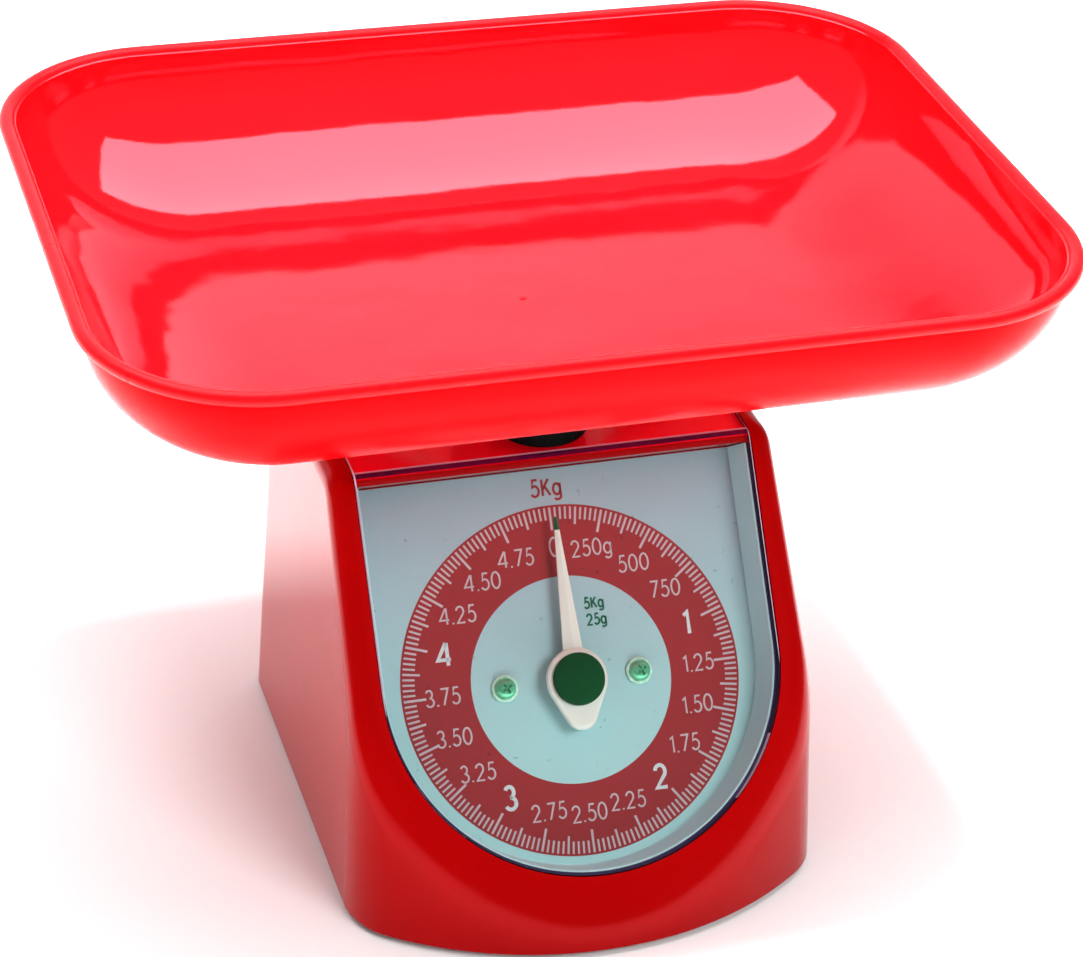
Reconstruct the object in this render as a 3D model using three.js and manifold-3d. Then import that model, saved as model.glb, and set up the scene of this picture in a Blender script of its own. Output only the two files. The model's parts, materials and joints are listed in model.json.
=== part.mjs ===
// Mechanical kitchen scale, 5 kg: tilted round dial, spring movement and a lift-off pan.
// Units are millimetres, +Z is up, +X is to the right of a person facing the dial.
// Every piece is drawn about the centre of the dial face, and the whole scale is then
// moved so that the origin lies on the table under the middle of its bounding box.

import * as THREE from 'three';
import { mergeVertices } from 'three/addons/utils/BufferGeometryUtils.js';
import Module from 'manifold-3d';

const wasm = await Module();
wasm.setup();

// ---------------------------------------------------------------- driving dimensions

const CLEARANCE = 0.3;                         // gap between pieces that touch
const FIT = 2 * CLEARANCE;                     // extra width of a slot or diameter of a hole

// Place of the dial centre
const DIAL_HEIGHT = 53.5;                      // above the table
const FLOOR = -DIAL_HEIGHT;
const FOOT_DROP = 2;                           // feet below the body's lower edge
const LEAN = THREE.MathUtils.degToRad(35.74);  // dial face leans back from the vertical

// Body
const BODY_BOTTOM = FLOOR + FOOT_DROP;
const BODY_TOP = 55.2;
const BODY_HALF_WIDTH = 64.2;                  // at the lower edge
const BODY_FRONT = -48.3;
const BODY_BACK = 98;
const BOW_RADIUS = 94;                         // front of the lower edge, seen from above
const FRONT_CORNER = 20;
const BACK_CORNER = 10;
const SIDE_DRAFT = 0.0385;                     // inward lean of the sides, per mm of height
const FRONT_DRAFT = 0.13;
const BACK_DRAFT = 0.02;
const SIDE_TOP_RADIUS = 6;
const FRONT_TOP_RADIUS = 9;
const WALL = 2.2;
const RIB = 3;
const RIB_END_X = 61.6;                        // ribs end inside the side walls
const BOSS_RADIUS = 5;
const BOSS_HEIGHT = 14;
const FACE_HEIGHT = 12.9;                      // front of the body in front of the dial face

// Base plate and feet
const BASE_THICKNESS = 2.5;
const BASE_TOP = BODY_BOTTOM + CLEARANCE + BASE_THICKNESS;
const BASE_SCREW_X = 52;
const BASE_SCREW_Y = { front: -8, rear: 74 };
const FOOT = { radius: 7, chamfer: 1, front: -24, rear: 86, x: 46 };

// Window: straight sides, round below
const WINDOW_HALF_WIDTH = 53.8;
const WINDOW_ARC_V = 3;                        // centre of the round part, up the dial face
const WINDOW_TOP_V = 56;
const LENS_THICKNESS = 1.8;
const LEDGE_BACK = 49.6;                       // how far the lens reaches back over the body
const SURROUND_HALF_WIDTH = 51;                // inside of the liner at the dial face

// Dial
const DIAL_THICKNESS = 1;
const BULKHEAD = 2;                            // body wall behind the dial
const DIAL_SCREW_U = 18.4;
const DIAL_SCREW_HEAD = 2.7;
const WASHER = { inner: 1.9, outer: 3.55, crown: 3.0, edge: 0.7, top: 1.1 };
const POINTER_BACK = 4.4;                      // pointer in front of the dial face
const POINTER_TOP = 6.4;
const POINTER_SHEET = 1.2;
const POINTER_REACH = 42.6;
const HUB_RADIUS = 8.2;
const CAP_RADIUS = 6.9;

// Fasteners, one size throughout
const SCREW_DIAMETER = 3;
const SCREW_HOLE = SCREW_DIAMETER / 2 + CLEARANCE;
const SCREW_HEAD = 2.7;
const SCREW_HEAD_HEIGHT = 1.8;
const SCREW_REACH = 10;                        // depth of a blind screw hole
const THROUGH = 9;                             // reach of a cutting bar past a thin wall

// Movement
const TRAVEL = 12;                             // pan travel at full load
const PINION_TEETH = 10;
const PINION_RADIUS = TRAVEL * Math.cos(LEAN) / (2 * Math.PI);   // one turn at full load
const PINION_DEPTH = 22;                       // pinion behind the dial face
const PINION_FACE = 5;
const SHAFT_RADIUS = 1.2;
const SHAFT_END = -34;
const BRACKET_SHEET = 1.8;
const BRACKET_FRONT = -DIAL_THICKNESS - CLEARANCE - BULKHEAD - 0.4;
const BRACKET_REAR = -32;
const BRACKET_WEB_X = -10;
const BRACKET_HALF = { x: 25, y: 9 };          // front plate
const BUSH_RADIUS = 3;
const FLANGE = { wide: 1.4, thick: 1 };

// Carrier, links and chassis
const STEM_Y = 57.3;                           // middle of the pan
const PLATE_Y = 63.1;                          // middle of the carrier plate
const STEEL = 2;
const LINK_LENGTH = 30;
const CARRIER_PIN_Y = 58;
const PIVOT_Y = CARRIER_PIN_Y + LINK_LENGTH;
const PIN_DIAMETER = 4;
const UPPER_PIVOT_Z = 20;
const LOWER_PIVOT_Z = -26;
const CHASSIS_HALF = 31;                       // middle of a chassis side wall
const CHASSIS_FLOOR = -47.4;
const CHASSIS_TOP = 36;
const CHASSIS_SCREW_X = 25;
const CHASSIS_SCREW_Y = { front: 40, rear: 84 };
const CROSS_BAR = { low: -36, high: 28 };      // edges of the two plates that join the sides
const CHASSIS_WINDOW = { y0: 46, y1: 76, z0: -14, z1: 8 };
const HANGER_SLOT = { width: 3.6, half: 5.5 };
const CARRIER_FOOT = -26;
const CARRIER_TOP = 52;
const CARRIER_STEP = 33;                       // the carrier narrows above this height
const CARRIER_NECK = 15;                       // half width above it
const STOP_TRAVEL = TRAVEL + FIT;
const STOP_RADIUS = 6;
const RISE = TRAVEL / 2;                       // links are level at half load
const LINK = { x: 26, wide: 3, half: 4, nose: 5, heel: 4.5 };
const LINK_BRACE = { y0: -14, y1: -7, half: 1.5 };
const SPRING_X = 21;
const SPRING_Y = 37.7;
const SPRING_FOOT = -30;
const SPRING_RADIUS = 6.2;
const SPRING_WIRE = 1.4;
const COIL = { top: 15, bottom: -17 };
const SPRING_HOLE = 2.2;

// Zero adjustment
const KNOB_RADIUS = 12.7;
const KNOB_HEIGHT = 7.4;
const ZERO_SCREW_RADIUS = 2.5;
const HANGER_Z = 29;
const HANGER = { half: 3, sheet: 3, boss: 6, bossHalf: 5, reach: CHASSIS_HALF + 3 };
const KNOB_BOTTOM = BODY_TOP + FIT;
const KNOB_TOP = KNOB_BOTTOM + KNOB_HEIGHT;
const NECK_RADIUS = 3.9;
const CLIP = { radius: 6.4, thick: 1 };

// Pan and platform
const RIM_HALF_X = 125.35;                     // middle of the rolled rim
const RIM_HALF_Y = 95.75;
const RIM_CORNER = 42;
const RIM_RADIUS = 1.95;
const RIM_Z = 117.8;
const PAN_DEPTH = 36.8;                        // rim middle to the underside
const PAN_RUN = 46.4;                          // how far the wall curves inward
const PAN_WALL = 1.9;
const PAN_CORNER_SHRINK = 0.8;                 // corner radius lost per mm of run
const STEM_WIDTH = 36;
const STEM_DEPTH = 9;
const STEM_FOOT = 31;
const STEM_SCREW_X = 10;
const STEM_SCREW_Z = 42;
const STEM_SLOT_MARGIN = 0.8;
const PLATFORM_HEIGHT = 6;
const HUB_HALF = { x: 21, y: 6 };
const ARM_WIDTH = 8;
const PAD_RADIUS = 8;
const PAD_X = 46;
const PAD_Y = 34;
const PEG_RADIUS = 2.5;
const PEG_LENGTH = 4;

// Table frame: the origin is under the middle of the bounding box
const MIDDLE_Y = (BODY_FRONT + STEM_Y + RIM_HALF_Y + RIM_RADIUS) / 2;

// ---------------------------------------------------------------- materials

const finish = (color, roughness, metalness = 0) => () =>
  new THREE.MeshStandardMaterial({ color, roughness, metalness });

const redPlastic = finish(0xe01018, 0.2);
const blackPlastic = finish(0x101214, 0.4);
const rubber = finish(0x1c1c1e, 0.85);
const steel = finish(0xb4b8ba, 0.35, 1);
const brass = finish(0xc2a25a, 0.35, 1);
const creamPlastic = finish(0xe4e2d8, 0.35);
const greenPlastic = finish(0x0c4a26, 0.3);
const dialCard = finish(0xb4ccd0, 0.45);
const greyPlastic = finish(0x9fb4be, 0.5);

function clearPlastic() {
  return new THREE.MeshStandardMaterial({
    color: 0xe8f0f4,
    roughness: 0.05,
    transparent: true,
    opacity: 0.25,
  });
}

// ---------------------------------------------------------------- solids and booleans

function solid(geometry) {
  const bare = geometry.clone();
  for (const name of Object.keys(bare.attributes)) {
    if (name !== 'position') bare.deleteAttribute(name);
  }
  const merged = mergeVertices(bare, 1e-4);
  return new wasm.Manifold(new wasm.Mesh({
    numProp: 3,
    vertProperties: new Float32Array(merged.attributes.position.array),
    triVerts: new Uint32Array(merged.index.array),
  }));
}

function geometryOf(body) {
  const mesh = body.getMesh();
  const geometry = new THREE.BufferGeometry();
  geometry.setAttribute('position', new THREE.BufferAttribute(mesh.vertProperties, 3));
  geometry.setIndex(new THREE.BufferAttribute(mesh.triVerts, 1));
  geometry.computeVertexNormals();
  return geometry;
}

function join(...geometries) {
  return geometries.map(solid).reduce((total, next) => total.add(next));
}

function cut(body, ...geometries) {
  return geometries.map(solid).reduce((total, next) => total.subtract(next), body);
}

// A box between two corners
function block(x0, x1, y0, y1, z0, z1) {
  const geometry = new THREE.BoxGeometry(x1 - x0, y1 - y0, z1 - z0);
  return geometry.translate((x0 + x1) / 2, (y0 + y1) / 2, (z0 + z1) / 2);
}

// Round bars along each axis, centred on the other two coordinates
function barZ(radius, z0, z1, x, y, sides = 16) {
  const geometry = new THREE.CylinderGeometry(radius, radius, z1 - z0, sides);
  return geometry.rotateX(Math.PI / 2).translate(x, y, (z0 + z1) / 2);
}

function barY(radius, y0, y1, x, z, sides = 12) {
  const geometry = new THREE.CylinderGeometry(radius, radius, y1 - y0, sides);
  return geometry.translate(x, (y0 + y1) / 2, z);
}

function barX(radius, x0, x1, y, z, sides = 12) {
  const geometry = new THREE.CylinderGeometry(radius, radius, x1 - x0, sides);
  return geometry.rotateZ(Math.PI / 2).translate((x0 + x1) / 2, y, z);
}

// Pieces drawn in the dial's own frame: x across, y up the face, z out of the face
const dialFrame = new THREE.Matrix4().makeRotationX(Math.PI / 2 - LEAN);

function onDial(geometry) {
  return geometry.applyMatrix4(dialFrame);
}

// Place in the body's frame of a point given up the face and out of the face
function dialPoint(up, out) {
  return new THREE.Vector3(0, up, out).applyMatrix4(dialFrame);
}

// ---------------------------------------------------------------- outlines

// Lower edge of the body, seen from above and drawn inward by inset
function bodyOutline(inset) {
  const half = BODY_HALF_WIDTH - inset;
  const bow = BOW_RADIUS - inset;
  const bowY = BODY_FRONT + BOW_RADIUS;
  const corner = FRONT_CORNER - inset;
  const cornerX = BODY_HALF_WIDTH - FRONT_CORNER;
  const reach = BOW_RADIUS - FRONT_CORNER;
  const cornerY = bowY - Math.sqrt(reach ** 2 - cornerX ** 2);
  const tangent = Math.atan2(cornerY - bowY, cornerX);
  const backCorner = BACK_CORNER - inset;
  const backX = BODY_HALF_WIDTH - BACK_CORNER;
  const backY = BODY_BACK - BACK_CORNER;
  const shape = new THREE.Shape();
  shape.absarc(0, bowY, bow, -Math.PI - tangent, tangent, false);
  shape.absarc(cornerX, cornerY, corner, tangent, 0, false);
  shape.lineTo(half, backY);
  shape.absarc(backX, backY, backCorner, 0, Math.PI / 2, false);
  shape.absarc(-backX, backY, backCorner, Math.PI / 2, Math.PI, false);
  shape.lineTo(-half, cornerY);
  shape.absarc(-cornerX, cornerY, corner, Math.PI, Math.PI - tangent, false);
  return shape;
}

// Upright prism on the body outline, leaning inward as it rises
function bodyPrism(inset, bottom, top) {
  const options = { depth: top - bottom, bevelEnabled: false, curveSegments: 6 };
  const geometry = new THREE.ExtrudeGeometry(bodyOutline(inset), options);
  geometry.translate(0, 0, bottom);
  const sideLoss = SIDE_DRAFT / BODY_HALF_WIDTH;
  const length = BODY_BACK - BODY_FRONT;
  const lengthLoss = (FRONT_DRAFT + BACK_DRAFT) / length;
  const still = BODY_BACK - BACK_DRAFT / lengthLoss;
  const place = geometry.attributes.position;
  for (let i = 0; i < place.count; i += 1) {
    const rise = place.getZ(i) - BODY_BOTTOM;
    place.setX(i, place.getX(i) * (1 - sideLoss * rise));
    place.setY(i, still + (place.getY(i) - still) * (1 - lengthLoss * rise));
  }
  return geometry;
}

// Front view of the body with its rounded shoulders, as a bar along Y
function frontView(inset) {
  const far = 2 * BODY_HALF_WIDTH;
  const lean = SIDE_DRAFT * (BODY_TOP - BODY_BOTTOM);
  const half = BODY_HALF_WIDTH - lean - inset;
  const radius = SIDE_TOP_RADIUS - inset;
  const top = BODY_TOP - inset;
  const shape = new THREE.Shape();
  shape.moveTo(-far, -far);
  shape.lineTo(far, -far);
  shape.lineTo(half + radius, top - radius * 2);
  shape.lineTo(half, top - radius);
  shape.absarc(half - radius, top - radius, radius, 0, Math.PI / 2, false);
  shape.absarc(-half + radius, top - radius, radius, Math.PI / 2, Math.PI, false);
  shape.lineTo(-half - radius, top - radius * 2);
  const depth = 3 * BODY_BACK;
  const options = { depth, bevelEnabled: false, curveSegments: 5 };
  const geometry = new THREE.ExtrudeGeometry(shape, options);
  return geometry.rotateX(Math.PI / 2).translate(0, 1.5 * BODY_BACK, 0);
}

// Side view of the body: sloping face, rounded front edge and flat top, as a bar along X
function sideView(inset) {
  const face = FACE_HEIGHT - inset;
  const top = BODY_TOP - inset;
  const radius = FRONT_TOP_RADIUS - inset;
  const low = dialPoint(-2 * BODY_BACK, face);
  const centre = dialPoint((top - radius - (face - radius) * Math.sin(LEAN)) / Math.cos(LEAN),
    face - radius);
  const shape = new THREE.Shape();
  shape.moveTo(low.y, low.z);
  shape.lineTo(3 * BODY_BACK, low.z);
  shape.lineTo(3 * BODY_BACK, top);
  shape.absarc(centre.y, centre.z, radius, Math.PI / 2, Math.PI - LEAN, false);
  const depth = 4 * BODY_HALF_WIDTH;
  const options = { depth, bevelEnabled: false, curveSegments: 6 };
  const geometry = new THREE.ExtrudeGeometry(shape, options);
  geometry.translate(0, 0, -depth / 2);
  return geometry.rotateX(Math.PI / 2).rotateZ(Math.PI / 2);
}

// U-shaped outline of the window, grown or shrunk from the window's own size
function windowOutline(halfWidth, topV) {
  const shape = new THREE.Shape();
  shape.moveTo(-halfWidth, topV);
  shape.lineTo(-halfWidth, WINDOW_ARC_V);
  shape.absarc(0, WINDOW_ARC_V, halfWidth, Math.PI, 2 * Math.PI, false);
  shape.lineTo(halfWidth, topV);
  return shape;
}

function windowPlate(halfWidth, topV, low, high, curveSegments = 14) {
  const options = { depth: high - low, bevelEnabled: false, curveSegments };
  const geometry = new THREE.ExtrudeGeometry(windowOutline(halfWidth, topV), options);
  return geometry.translate(0, 0, low);
}

// ---------------------------------------------------------------- the scale

const scale = new THREE.Group();
scale.position.set(0, -MIDDLE_Y, DIAL_HEIGHT);

function add(name, geometry, material) {
  const mesh = new THREE.Mesh(geometry, material());
  mesh.name = name;
  scale.add(mesh);
}

const SIDES = [['left', -1], ['right', 1]];
const ENDS = [['front', -1], ['rear', 1]];

// ---- body

const LEDGE_FLOOR = BODY_TOP - LENS_THICKNESS - CLEARANCE;

function dialScrewHoles() {
  return SIDES.map(([, side]) => barZ(SCREW_HOLE, -THROUGH, THROUGH, side * DIAL_SCREW_U, 0, 12));
}

function housingShell() {
  const recess = windowPlate(WINDOW_HALF_WIDTH + WALL, WINDOW_TOP_V + WALL,
    -DIAL_THICKNESS - CLEARANCE - BULKHEAD, 2 * FACE_HEIGHT);
  const outer = solid(bodyPrism(0, BODY_BOTTOM, BODY_TOP))
    .intersect(solid(frontView(0)))
    .intersect(solid(sideView(0)));
  const hollow = cut(
    solid(bodyPrism(WALL, BODY_BOTTOM - WALL, BODY_TOP))
      .intersect(solid(frontView(WALL)))
      .intersect(solid(sideView(WALL))),
    onDial(recess),
    block(-WINDOW_HALF_WIDTH - WALL, WINDOW_HALF_WIDTH + WALL, -BODY_BACK, LEDGE_BACK + WALL,
      LEDGE_FLOOR - WALL, BODY_TOP),
  );
  const bosses = [];
  for (const [, side] of SIDES) {
    for (const [end] of ENDS) {
      const y = BASE_SCREW_Y[end];
      const bossX = side * BASE_SCREW_X;
      const ribX = side * RIB_END_X;
      bosses.push(barZ(BOSS_RADIUS, BASE_TOP + CLEARANCE, BASE_TOP + BOSS_HEIGHT, bossX, y, 12));
      bosses.push(block(Math.min(bossX, ribX), Math.max(bossX, ribX), y - RIB / 2, y + RIB / 2,
        BASE_TOP + CLEARANCE, BASE_TOP + BOSS_HEIGHT));
    }
  }
  const window = onDial(windowPlate(WINDOW_HALF_WIDTH, WINDOW_TOP_V,
    -DIAL_THICKNESS - CLEARANCE, 2 * FACE_HEIGHT));
  const lensEdge = onDial(windowPlate(WINDOW_HALF_WIDTH, 2 * WINDOW_TOP_V,
    FACE_HEIGHT - LENS_THICKNESS - CLEARANCE, 2 * FACE_HEIGHT));
  const ledge = block(-WINDOW_HALF_WIDTH, WINDOW_HALF_WIDTH, -BODY_BACK,
    LEDGE_BACK + CLEARANCE, LEDGE_FLOOR, 2 * BODY_TOP);
  const slotX = STEM_WIDTH / 2 + STEM_SLOT_MARGIN;
  const slotY = STEM_DEPTH / 2 + STEM_SLOT_MARGIN;
  const stemSlot = block(-slotX, slotX, STEM_Y - slotY, STEM_Y + slotY,
    BODY_TOP - 2 * WALL, BODY_TOP + WALL);
  const holes = [
    onDial(barZ(NECK_RADIUS + FIT, -THROUGH, THROUGH, 0, 0, 20)),
    barZ(NECK_RADIUS + FIT, LEDGE_FLOOR - 2 * WALL, BODY_TOP + WALL, 0, SPRING_Y, 20),
    barZ(ZERO_SCREW_RADIUS + FIT, HANGER_Z + THROUGH, LEDGE_FLOOR, 0, SPRING_Y, 16),
    ...dialScrewHoles().map(onDial),
  ];
  for (const [, side] of SIDES) {
    for (const [end] of ENDS) {
      holes.push(barZ(SCREW_HOLE, BASE_TOP, BASE_TOP + SCREW_REACH, side * BASE_SCREW_X,
        BASE_SCREW_Y[end], 12));
    }
  }
  const shell = outer.subtract(hollow);
  const withBosses = bosses.map(solid).reduce((total, next) => total.add(next), shell);
  return geometryOf(cut(withBosses, window, lensEdge, ledge, stemSlot, ...holes));
}

function basePlate() {
  const plate = solid(bodyPrism(WALL + CLEARANCE, BASE_TOP - BASE_THICKNESS, BASE_TOP));
  const holes = [];
  for (const [, side] of SIDES) {
    for (const [end] of ENDS) {
      holes.push(barZ(SCREW_HOLE, BODY_BOTTOM - 1, BASE_TOP + 1, side * BASE_SCREW_X,
        BASE_SCREW_Y[end], 8));
      holes.push(barZ(SCREW_HOLE, BODY_BOTTOM - 1, BASE_TOP + 1, side * CHASSIS_SCREW_X,
        CHASSIS_SCREW_Y[end], 12));
    }
  }
  return geometryOf(cut(plate, ...holes));
}

add('housing_shell', housingShell(), redPlastic);
add('base_plate', basePlate(), blackPlastic);

// A screw along Z with its head at the given height, its shank towards the sign of way
function screwZ(x, y, headZ, headHeight, headRadius, shankLength, way) {
  const shankEnd = headZ + way * shankLength;
  const shankStart = headZ - way * headHeight / 2;
  const head = barZ(headRadius, Math.min(headZ, headZ - way * headHeight),
    Math.max(headZ, headZ - way * headHeight), x, y, 12);
  const shank = barZ(SCREW_DIAMETER / 2, Math.min(shankStart, shankEnd),
    Math.max(shankStart, shankEnd), x, y, 8);
  return geometryOf(join(head, shank));
}

const BASE_SCREW = { headHeight: 1.5, head: 3.2, length: 11 };
const CHASSIS_SCREW_LENGTH = 4.6;

for (const [sideName, side] of SIDES) {
  for (const [endName] of ENDS) {
    const corner = `${endName}_${sideName}`;
    add(`foot_${corner}`,
      new THREE.LatheGeometry([
        new THREE.Vector2(0, FLOOR),
        new THREE.Vector2(FOOT.radius - FOOT.chamfer, FLOOR),
        new THREE.Vector2(FOOT.radius, FLOOR + FOOT.chamfer),
        new THREE.Vector2(FOOT.radius, BODY_BOTTOM),
        new THREE.Vector2(0, BODY_BOTTOM),
      ], 14).rotateX(Math.PI / 2).translate(side * FOOT.x, FOOT[endName], 0),
      rubber);
    add(`base_screw_${corner}`,
      screwZ(side * BASE_SCREW_X, BASE_SCREW_Y[endName], BODY_BOTTOM, BASE_SCREW.headHeight,
        BASE_SCREW.head, BASE_SCREW.length, 1),
      steel);
    add(`chassis_screw_${corner}`,
      screwZ(side * CHASSIS_SCREW_X, CHASSIS_SCREW_Y[endName],
        CHASSIS_FLOOR + STEEL / 2 + CLEARANCE, SCREW_HEAD_HEIGHT, SCREW_HEAD,
        CHASSIS_SCREW_LENGTH, -1),
      steel);
  }
}

// ---- window, liner and dial

function lens() {
  const inner = FACE_HEIGHT - LENS_THICKNESS;
  const half = WINDOW_HALF_WIDTH - CLEARANCE;
  const face = onDial(windowPlate(half, 2 * WINDOW_TOP_V, inner, FACE_HEIGHT));
  const ledge = solid(block(-half, half, -BODY_BACK, LEDGE_BACK, BODY_TOP - LENS_THICKNESS,
    BODY_TOP));
  const behindFace = onDial(block(-BODY_BACK, BODY_BACK, -3 * BODY_BACK, 3 * BODY_BACK,
    -3 * BODY_BACK, FACE_HEIGHT));
  const underTop = block(-BODY_BACK, BODY_BACK, -BODY_BACK, BODY_BACK, -BODY_BACK, BODY_TOP);
  const body = solid(face).intersect(solid(underTop)).add(ledge.intersect(solid(behindFace)));
  return geometryOf(cut(body, barZ(NECK_RADIUS + FIT, BODY_TOP - THROUGH, BODY_TOP + THROUGH,
    0, SPRING_Y, 24)));
}

function dialSurround() {
  const front = FACE_HEIGHT - LENS_THICKNESS - CLEARANCE;
  const half = WINDOW_HALF_WIDTH - CLEARANCE;
  const top = WINDOW_TOP_V - CLEARANCE;
  const outer = windowPlate(half, top, CLEARANCE, front);
  const tapered = windowPlate(SURROUND_HALF_WIDTH, 2 * WINDOW_TOP_V, -1, FACE_HEIGHT);
  const place = tapered.attributes.position;
  const flare = (half - 1 - SURROUND_HALF_WIDTH) / (SURROUND_HALF_WIDTH * front);
  for (let i = 0; i < place.count; i += 1) {
    const growth = 1 + flare * place.getZ(i);
    place.setX(i, place.getX(i) * growth);
    place.setY(i, WINDOW_ARC_V + (place.getY(i) - WINDOW_ARC_V) * growth);
  }
  return onDial(geometryOf(cut(solid(outer), tapered)));
}

function dialPlate() {
  const half = WINDOW_HALF_WIDTH - CLEARANCE;
  const plate = windowPlate(half, WINDOW_TOP_V - CLEARANCE, -DIAL_THICKNESS, 0);
  const shaftHole = barZ(BUSH_RADIUS, -THROUGH, THROUGH, 0, 0, 20);
  return onDial(geometryOf(cut(solid(plate), shaftHole, ...dialScrewHoles())));
}

const CROSS = { half: 1.6, slot: 0.3, depth: 0.8 };   // driver recess of a dial screw

add('lens', lens(), clearPlastic);
add('dial_surround', dialSurround(), greyPlastic);
add('dial_plate', dialPlate(), dialCard);

for (const [sideName, side] of SIDES) {
  const u = side * DIAL_SCREW_U;
  add(`dial_washer_${sideName}`,
    onDial(new THREE.LatheGeometry([
      new THREE.Vector2(WASHER.inner, CLEARANCE),
      new THREE.Vector2(WASHER.outer, CLEARANCE),
      new THREE.Vector2(WASHER.outer, WASHER.edge),
      new THREE.Vector2(WASHER.crown, WASHER.top),
      new THREE.Vector2(WASHER.inner, WASHER.top),
      new THREE.Vector2(WASHER.inner, CLEARANCE),
    ], 16).rotateX(Math.PI / 2).translate(u, 0, 0)),
    steel);
  const headBase = WASHER.top + CLEARANCE;
  const recess = WASHER.top + CROSS.depth;
  const head = new THREE.LatheGeometry([
    new THREE.Vector2(0, headBase),
    new THREE.Vector2(DIAL_SCREW_HEAD, headBase),
    new THREE.Vector2(DIAL_SCREW_HEAD, WASHER.top + 1),
    new THREE.Vector2(1.8, WASHER.top + 1.7),
    new THREE.Vector2(0, WASHER.top + 1.9),
  ], 16).rotateX(Math.PI / 2);
  const shank = barZ(SCREW_DIAMETER / 2, -THROUGH, headBase + CLEARANCE, 0, 0, 8);
  const cross = [
    block(-CROSS.half, CROSS.half, -CROSS.slot, CROSS.slot, recess, THROUGH),
    block(-CROSS.slot, CROSS.slot, -CROSS.half, CROSS.half, recess, THROUGH),
  ];
  const screw = geometryOf(cut(join(head, shank), ...cross));
  add(`dial_screw_${sideName}`, onDial(screw.translate(u, 0, 0)), steel);
}

// ---- pointer and pinion shaft

const BLADE = { root: 2.6, rootV: 6, tip: 0.45, tail: 4.2, tailV: -9.1 };
const BLADE_SHOULDER = -8;

function pointer() {
  const blade = new THREE.Shape();
  blade.moveTo(-BLADE.root, BLADE.rootV);
  blade.lineTo(-BLADE.tip, POINTER_REACH);
  blade.lineTo(BLADE.tip, POINTER_REACH);
  blade.lineTo(BLADE.root, BLADE.rootV);
  blade.lineTo(BLADE.tail, BLADE_SHOULDER);
  blade.absarc(0, BLADE.tailV, BLADE.tail, 0, -Math.PI, true);
  blade.lineTo(-BLADE.tail, BLADE_SHOULDER);
  const options = { depth: POINTER_SHEET, bevelEnabled: false, curveSegments: 8 };
  const arm = new THREE.ExtrudeGeometry(blade, options).translate(0, 0, POINTER_BACK);
  const hub = barZ(HUB_RADIUS, POINTER_BACK, POINTER_TOP, 0, 0, 24);
  return geometryOf(cut(join(arm, hub),
    barZ(SHAFT_RADIUS + CLEARANCE, 0, POINTER_TOP - FIT, 0, 0, 16)));
}

function pointerShaft() {
  const tip = PINION_RADIUS + 0.25;
  const step = 2 * Math.PI / PINION_TEETH;
  const corners = [[SHAFT_RADIUS, -0.3], [tip, -0.1], [tip, 0.1], [SHAFT_RADIUS, 0.3]];
  const leaf = new THREE.Shape();
  leaf.moveTo(SHAFT_RADIUS * Math.cos(-0.3 * step), SHAFT_RADIUS * Math.sin(-0.3 * step));
  for (let tooth = 0; tooth < PINION_TEETH; tooth += 1) {
    for (const [radius, share] of corners) {
      const at = (tooth + share) * step;
      leaf.lineTo(radius * Math.cos(at), radius * Math.sin(at));
    }
  }
  const options = { depth: PINION_FACE, bevelEnabled: false };
  const pinion = new THREE.ExtrudeGeometry(leaf, options)
    .translate(0, 0, -PINION_DEPTH - PINION_FACE / 2);
  const shaft = barZ(SHAFT_RADIUS, SHAFT_END, POINTER_TOP - 2 * FIT, 0, 0, 16);
  return geometryOf(join(pinion, shaft));
}

add('pointer', onDial(pointer()), creamPlastic);
add('pointer_shaft', onDial(pointerShaft()), steel);
add('pointer_cap',
  onDial(new THREE.LatheGeometry([
    new THREE.Vector2(0, POINTER_TOP + CLEARANCE),
    new THREE.Vector2(CAP_RADIUS, POINTER_TOP + CLEARANCE),
    new THREE.Vector2(CAP_RADIUS, POINTER_TOP + 1.4),
    new THREE.Vector2(CAP_RADIUS - 1, POINTER_TOP + 2),
    new THREE.Vector2(0, POINTER_TOP + 2.3),
  ], 20).rotateX(Math.PI / 2)),
  greenPlastic);

// ---- movement bracket and bushes

const WEB_HALF = 7;                            // half width of the web and of the rear plate

function movementBracket() {
  const webLeft = BRACKET_WEB_X - BRACKET_SHEET / 2;
  const front = block(-BRACKET_HALF.x, BRACKET_HALF.x, -BRACKET_HALF.y, BRACKET_HALF.y,
    BRACKET_FRONT - BRACKET_SHEET, BRACKET_FRONT);
  const web = block(webLeft, webLeft + BRACKET_SHEET, -WEB_HALF, WEB_HALF, BRACKET_REAR,
    BRACKET_FRONT - BRACKET_SHEET / 2);
  const rear = block(webLeft, WEB_HALF, 1 - WEB_HALF, WEB_HALF, BRACKET_REAR,
    BRACKET_REAR + BRACKET_SHEET);
  const shaftHole = barZ(BUSH_RADIUS + CLEARANCE, BRACKET_REAR - 1, 0, 0, 0, 20);
  return onDial(geometryOf(cut(join(front, web, rear), shaftHole, ...dialScrewHoles())));
}

// Flanged bush in a plate: plateFace is the flange's side, plateBack the other side
function bush(plateFace, plateBack, flangeWay) {
  const bore = SHAFT_RADIUS + CLEARANCE;
  const flange = plateFace + flangeWay * CLEARANCE;
  const flangeEnd = flange + flangeWay * FLANGE.thick;
  const profile = [
    new THREE.Vector2(bore, plateBack),
    new THREE.Vector2(BUSH_RADIUS, plateBack),
    new THREE.Vector2(BUSH_RADIUS, flange),
    new THREE.Vector2(BUSH_RADIUS + FLANGE.wide, flange),
    new THREE.Vector2(BUSH_RADIUS + FLANGE.wide, flangeEnd),
    new THREE.Vector2(bore, flangeEnd),
    new THREE.Vector2(bore, plateBack),
  ];
  if (flangeWay < 0) profile.reverse();
  return onDial(new THREE.LatheGeometry(profile, 14).rotateX(Math.PI / 2));
}

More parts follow.
